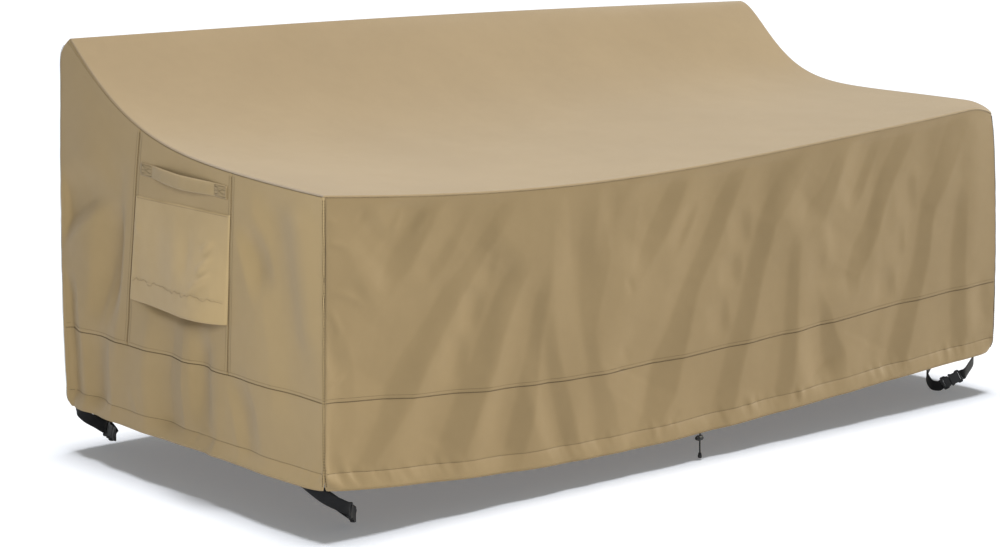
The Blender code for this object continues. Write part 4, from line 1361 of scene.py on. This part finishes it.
def dashes(points, outward, dash):
    """Vertices and faces of short threads laid along a line of points on the cloth."""
    steps = np.linalg.norm(np.diff(points, axis=0), axis=1)
    run = np.concatenate(([0.0], np.cumsum(steps)))
    count = int(run[-1] / dash.pitch)
    vertices, faces = [], []
    if count < 1:
        return vertices, faces
    begins = (np.arange(count) + 0.15) * dash.pitch

    def at(distance):
        return np.stack([np.interp(distance, run, points[:, axis]) for axis in range(3)], axis=-1)

    start, stop = at(begins), at(begins + dash.length)
    along = stop - start
    along /= np.maximum(np.linalg.norm(along, axis=1, keepdims=True), 1e-9)
    beside = np.cross(along, outward)
    beside /= np.maximum(np.linalg.norm(beside, axis=1, keepdims=True), 1e-9)
    face = np.cross(beside, along)
    sunk_by = dash.lift * 0.5
    rings = [start - face * sunk_by]
    for share in (DASH_SHOULDER, 1 - DASH_SHOULDER):
        centre = mixed(start, stop, share)
        rings += [
            centre - beside * dash.width / 2 - face * sunk_by,
            centre + face * dash.lift,
            centre + beside * dash.width / 2 - face * sunk_by,
        ]
    rings.append(stop - face * sunk_by)
    stack = np.stack(rings, axis=1)
    vertices = stack.reshape(-1, 3).tolist()
    for index in range(count):
        faces += [tuple(corner + 8 * index for corner in shape) for shape in DASH_FACES]
    return vertices, faces


def thread_object(name, lines, dash, material):
    """One object for many stitched lines, each the points and the side that it is on."""
    vertices, faces = [], []
    for points, side in lines:
        more, shapes = dashes(points, WALLS[side].outward, dash)
        faces += [tuple(corner + len(vertices) for corner in shape) for shape in shapes]
        vertices += more
    mesh = bpy.data.meshes.new(name)
    mesh.from_pydata((np.array(vertices) - np.array(ORIGIN)).tolist(), [], faces)
    mesh.uv_layers.new(name="weave")
    mesh.materials.append(material)
    thread = linked(name, mesh)
    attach(thread, "root")
    return thread


def wall_line(side, places, heights):
    """A stitched line on a wall's cloth."""
    return wall_points(side, places, heights), side


def seam_lines(side):
    """The stitched lines of one wall: level ones, upright ones, and pale and fine ones beside them."""
    start, stop, unit = WALLS[side].start, WALLS[side].stop, WALLS[side].unit
    edge = CORNER_CLEAR / unit
    places = np.linspace(start + edge, stop - edge, LEVEL_POINTS)
    flat = np.full(places.shape, 1.0)
    vented = side in ("left", "right")
    above = SEAM_SHARE + FINE_ABOVE_SEAM * (1 - SEAM_SHARE) / (0.46 if vented else 0.42)
    level_shares = [rise / SEAM_HEIGHT * SEAM_SHARE for rise in (HEM_HEIGHT, SEAM_HEIGHT - BELOW_SEAM)]
    level = [wall_line(side, places, flat * share) for share in level_shares]
    fine = [wall_line(side, places, flat * above)]
    heights = np.linspace(1 - SEAM_ENDS, SEAM_ENDS, UPRIGHT_POINTS)

    def corner_lines(beside):
        ends = (start + beside / unit, stop - beside / unit)
        return [wall_line(side, end + 0 * heights, heights) for end in ends]

    upright, pale = corner_lines(CORNER_STITCH), corner_lines(PALE_CORNER_STITCH)
    if vented:
        above_band = np.linspace(SEAM_SHARE + 0.01, SEAM_ENDS, PANEL_POINTS)
        for fold in (FRONT_LINE, REAR_LINE):
            seam = place_on(fold, above_band)
            upright.append(wall_line(side, seam + UPRIGHT_STITCH / DEPTH, above_band))
            for shift in (-1, 1):
                pale.append(wall_line(side, seam + shift * PALE_STITCH / DEPTH, above_band))
                fine.append(wall_line(side, seam + shift * FINE_STITCH / DEPTH, above_band))
    return level, upright, pale, fine


def top_line(side):
    """The stitched line just below the top edge of a wall. Its dark thread also paints the shade under
    the top seam's edge.
    """
    wall = WALLS[side]
    places = np.linspace(wall.start + TOP_CLEAR, wall.stop - TOP_CLEAR, LEVEL_POINTS)
    tall = 0.42 if side == "front" else 0.55
    share = 1 - (1 - SEAM_SHARE) * TOP_STITCH / tall
    return wall_line(side, places, np.full(places.shape, share))


def flap_lines(side):
    """The lines of a vent flap: two rough ones near its edge, its pale stitching and a dark line of
    painted shade just below it, and its top stitched line.
    """
    along = np.linspace(0.02, 0.98, PANEL_POINTS)
    rough = FLAP_ROUGH * (uneven(along, 0 * along, 0.030, 91) + 0.8 * uneven(along, 0 * along, 0.070, 92))
    lines = []
    # A dark line of painted shade, following the rough stitching just below it
    shade = FLAP_STITCH - FLAP_PAINTED_SHADE + 0.8 * rough
    for z in (FLAP_STITCH + rough, shade, FLAP_TOP - FLAP_TOP_STITCH):
        up = (z - FLAP_LOW) / (FLAP_TOP - FLAP_LOW)
        lines.append((mirrored(flap_points(along, up + 0 * along), side), side))
    return lines


def handle_lines(side):
    """The box stitches that hold the ends of a handle."""
    sewn = HANDLE_SEWN / (HANDLE_REAR - HANDLE_FRONT)
    low, high = BOX_SIDES
    lines = []
    for start, stop in ((BOX_INSET, sewn - BOX_INSET), (1 - sewn + BOX_INSET, 1 - BOX_INSET)):
        corners = ((start, low), (stop, low), (stop, high), (start, high), (start, low), (stop, high))
        rows = enumerate(np.linspace(low, high, BOX_ROWS))
        zigzag = tuple((start if index % 2 else stop, row) for index, row in rows)
        for path in (corners, ((start, high), (stop, low)), zigzag):
            for a, b in zip(path, path[1:]):
                along, up = np.linspace(a, b, 24).T
                lines.append((mirrored(handle_points(along, up), side), side))
    return lines


def make_stitches():
    level, upright, pale, fine = [], [], [], []
    for side in ("front", "back", "left", "right"):
        for lines, more in zip((level, upright, pale, fine), seam_lines(side)):
            lines += more
        fine.append(top_line(side))
    rough_lines, boxes = [], []
    for side in ("left", "right"):
        # The flap's shade line is painted shade, drawn in the dark thread with the fine stitches.
        rough, shade, top = flap_lines(side)
        rough_lines.append(rough)
        fine += [shade, top]
        boxes += handle_lines(side)
    # The dark thread's lines are stitches, and their dark brown also paints the shade in the seams.
    thread_object("level_stitches", level, SEAM_DASH, THREAD_AND_SEAM_SHADE)
    thread_object("upright_stitches", upright, SEAM_DASH, THREAD_AND_SEAM_SHADE)
    thread_object("edge_stitches", pale, EDGE_DASH, PALE_THREAD)
    thread_object("flap_stitches", rough_lines, EDGE_DASH, PALE_THREAD)
    thread_object("fine_stitches", fine, FINE_DASH, THREAD_AND_SEAM_SHADE)
    thread_object("handle_stitches", boxes, FINE_DASH, THREAD_AND_SEAM_SHADE)


make_stitches()


# Floor and light

FLOOR_COLOR = (0.95, 0.93, 0.84, 1.0)
# The floor's glow is painted light: the floor is no lamp, and its glow lifts the shadow under the cover
# to an even grey.
GLOW_COLOR = (0.95, 1.0, 1.08, 1.0)
FLOOR_GLOW = 0.165
FLOOR_ROUGHNESS = 0.95
WORLD_STRENGTH = 0.15
WORLD_COLOR = (1.0, 1.0, 1.0, 1.0)


def make_floor():
    mesh = bpy.data.meshes.new("floor")
    corners = [(x * FLOOR_HALF, y * FLOOR_HALF, 0) for x, y in ((-1, -1), (1, -1), (1, 1), (-1, 1))]
    mesh.from_pydata(corners, [], [(0, 1, 2, 3)])
    mesh.materials.append(new_material(
        "floor_paper", Base_Color=FLOOR_COLOR, Roughness=FLOOR_ROUGHNESS, Specular_IOR_Level=0.1,
        Emission_Color=GLOW_COLOR, Emission_Strength=FLOOR_GLOW)[0])
    floor = linked("floor", mesh)
    floor.location = (0.0, 0.0, FLOOR_Z - ORIGIN.z)
    return floor


Sun = namedtuple("Sun", "name heading height strength angle color lights")
"""A light from far away. heading is where it comes from, in degrees from the front towards the
left, and height is how high it stands. lights is what gets its light: all, or the pieces that
make_lights lists under that name."""
SUNS = (
    Sun("overhead", 0.0, 90.0, 2.92, 18.0, (0.94, 1.0, 1.19), "all"),
    Sun("right_grazing", -74.0, 22.0, 2.45, 12.0, (1.04, 1.0, 0.86), "cover"),
    Sun("back_soft", 180.0, 32.0, 1.25, 30.0, (0.84, 1.0, 1.34), "top_and_back"),
)

Softbox = namedtuple("Softbox", "name place aim size power lights")
"""A soft lamp at a place, facing its aim. lights is what gets its light, as for a Sun."""
SOFTBOXES = (
    Softbox("left_softbox", (-1.865, -0.95, 1.10), (-1.065, 0.20, 0.30), 0.6, 17.0, "left_side"),
    Softbox("front_softbox", (-1.90, -1.90, 0.90), (-1.0, 0.0, 0.30), 0.8, 9.0, "front_and_left"),
)
SOFTBOX_COLOR = (0.93, 1.0, 1.04)


def make_softbox(softbox, receivers):
    data = bpy.data.lights.new(softbox.name, "AREA")
    data.size = softbox.size
    data.energy = softbox.power
    data.color = SOFTBOX_COLOR
    lamp = linked(softbox.name, data)
    lamp.light_linking.receiver_collection = receivers[softbox.lights]
    lamp.visible_camera = False
    place = Vector(softbox.place)
    backward = place - Vector(softbox.aim)
    turned = backward.to_track_quat("Z", "Y").to_matrix().to_4x4()
    lamp.matrix_world = Matrix.Translation(place - ORIGIN) @ turned


def lit_pieces(name, starts):
    """A collection of the pieces whose names start with one of the given words."""
    pieces = bpy.data.collections.new(name)
    for obj in list(bpy.context.scene.objects):
        if obj.type == "MESH" and obj.name.startswith(starts):
            pieces.objects.link(obj)
    return pieces


def make_lights(floor):
    """The suns, softboxes and world. Of the lamps, only the overhead sun lights the floor, so the
    cover's shadow lies straight below it."""
    cover = bpy.data.collections.new("all_but_the_floor")
    cover.objects.link(floor)
    cover.collection_objects[0].light_linking.link_state = "EXCLUDE"
    receivers = {
        "cover": cover,
        "left_side": lit_pieces("left_side", ("left_",)),
        "front_and_left": lit_pieces("front_and_left", ("front_", "left_")),
        "top_and_back": lit_pieces("top_and_back", ("top_", "back_")),
    }
    for sun in SUNS:
        data = bpy.data.lights.new(sun.name, "SUN")
        data.energy = sun.strength
        data.color = sun.color
        data.angle = math.radians(sun.angle)
        lamp = linked(sun.name, data)
        if sun.lights in receivers:
            lamp.light_linking.receiver_collection = receivers[sun.lights]
        heading, height = math.radians(sun.heading), math.radians(sun.height)
        level = math.cos(height)
        toward = Vector((-math.sin(heading) * level, -math.cos(heading) * level, math.sin(height)))
        lamp.rotation_mode = "QUATERNION"
        lamp.rotation_quaternion = toward.to_track_quat("Z", "Y")
    for softbox in SOFTBOXES:
        make_softbox(softbox, receivers)
    world = bpy.data.worlds.new("studio")
    world.use_nodes = True
    background = world.node_tree.nodes["Background"]
    background.inputs["Color"].default_value = WORLD_COLOR
    background.inputs["Strength"].default_value = WORLD_STRENGTH
    bpy.context.scene.world = world
    bpy.context.scene.view_settings.view_transform = "Standard"


make_lights(make_floor())
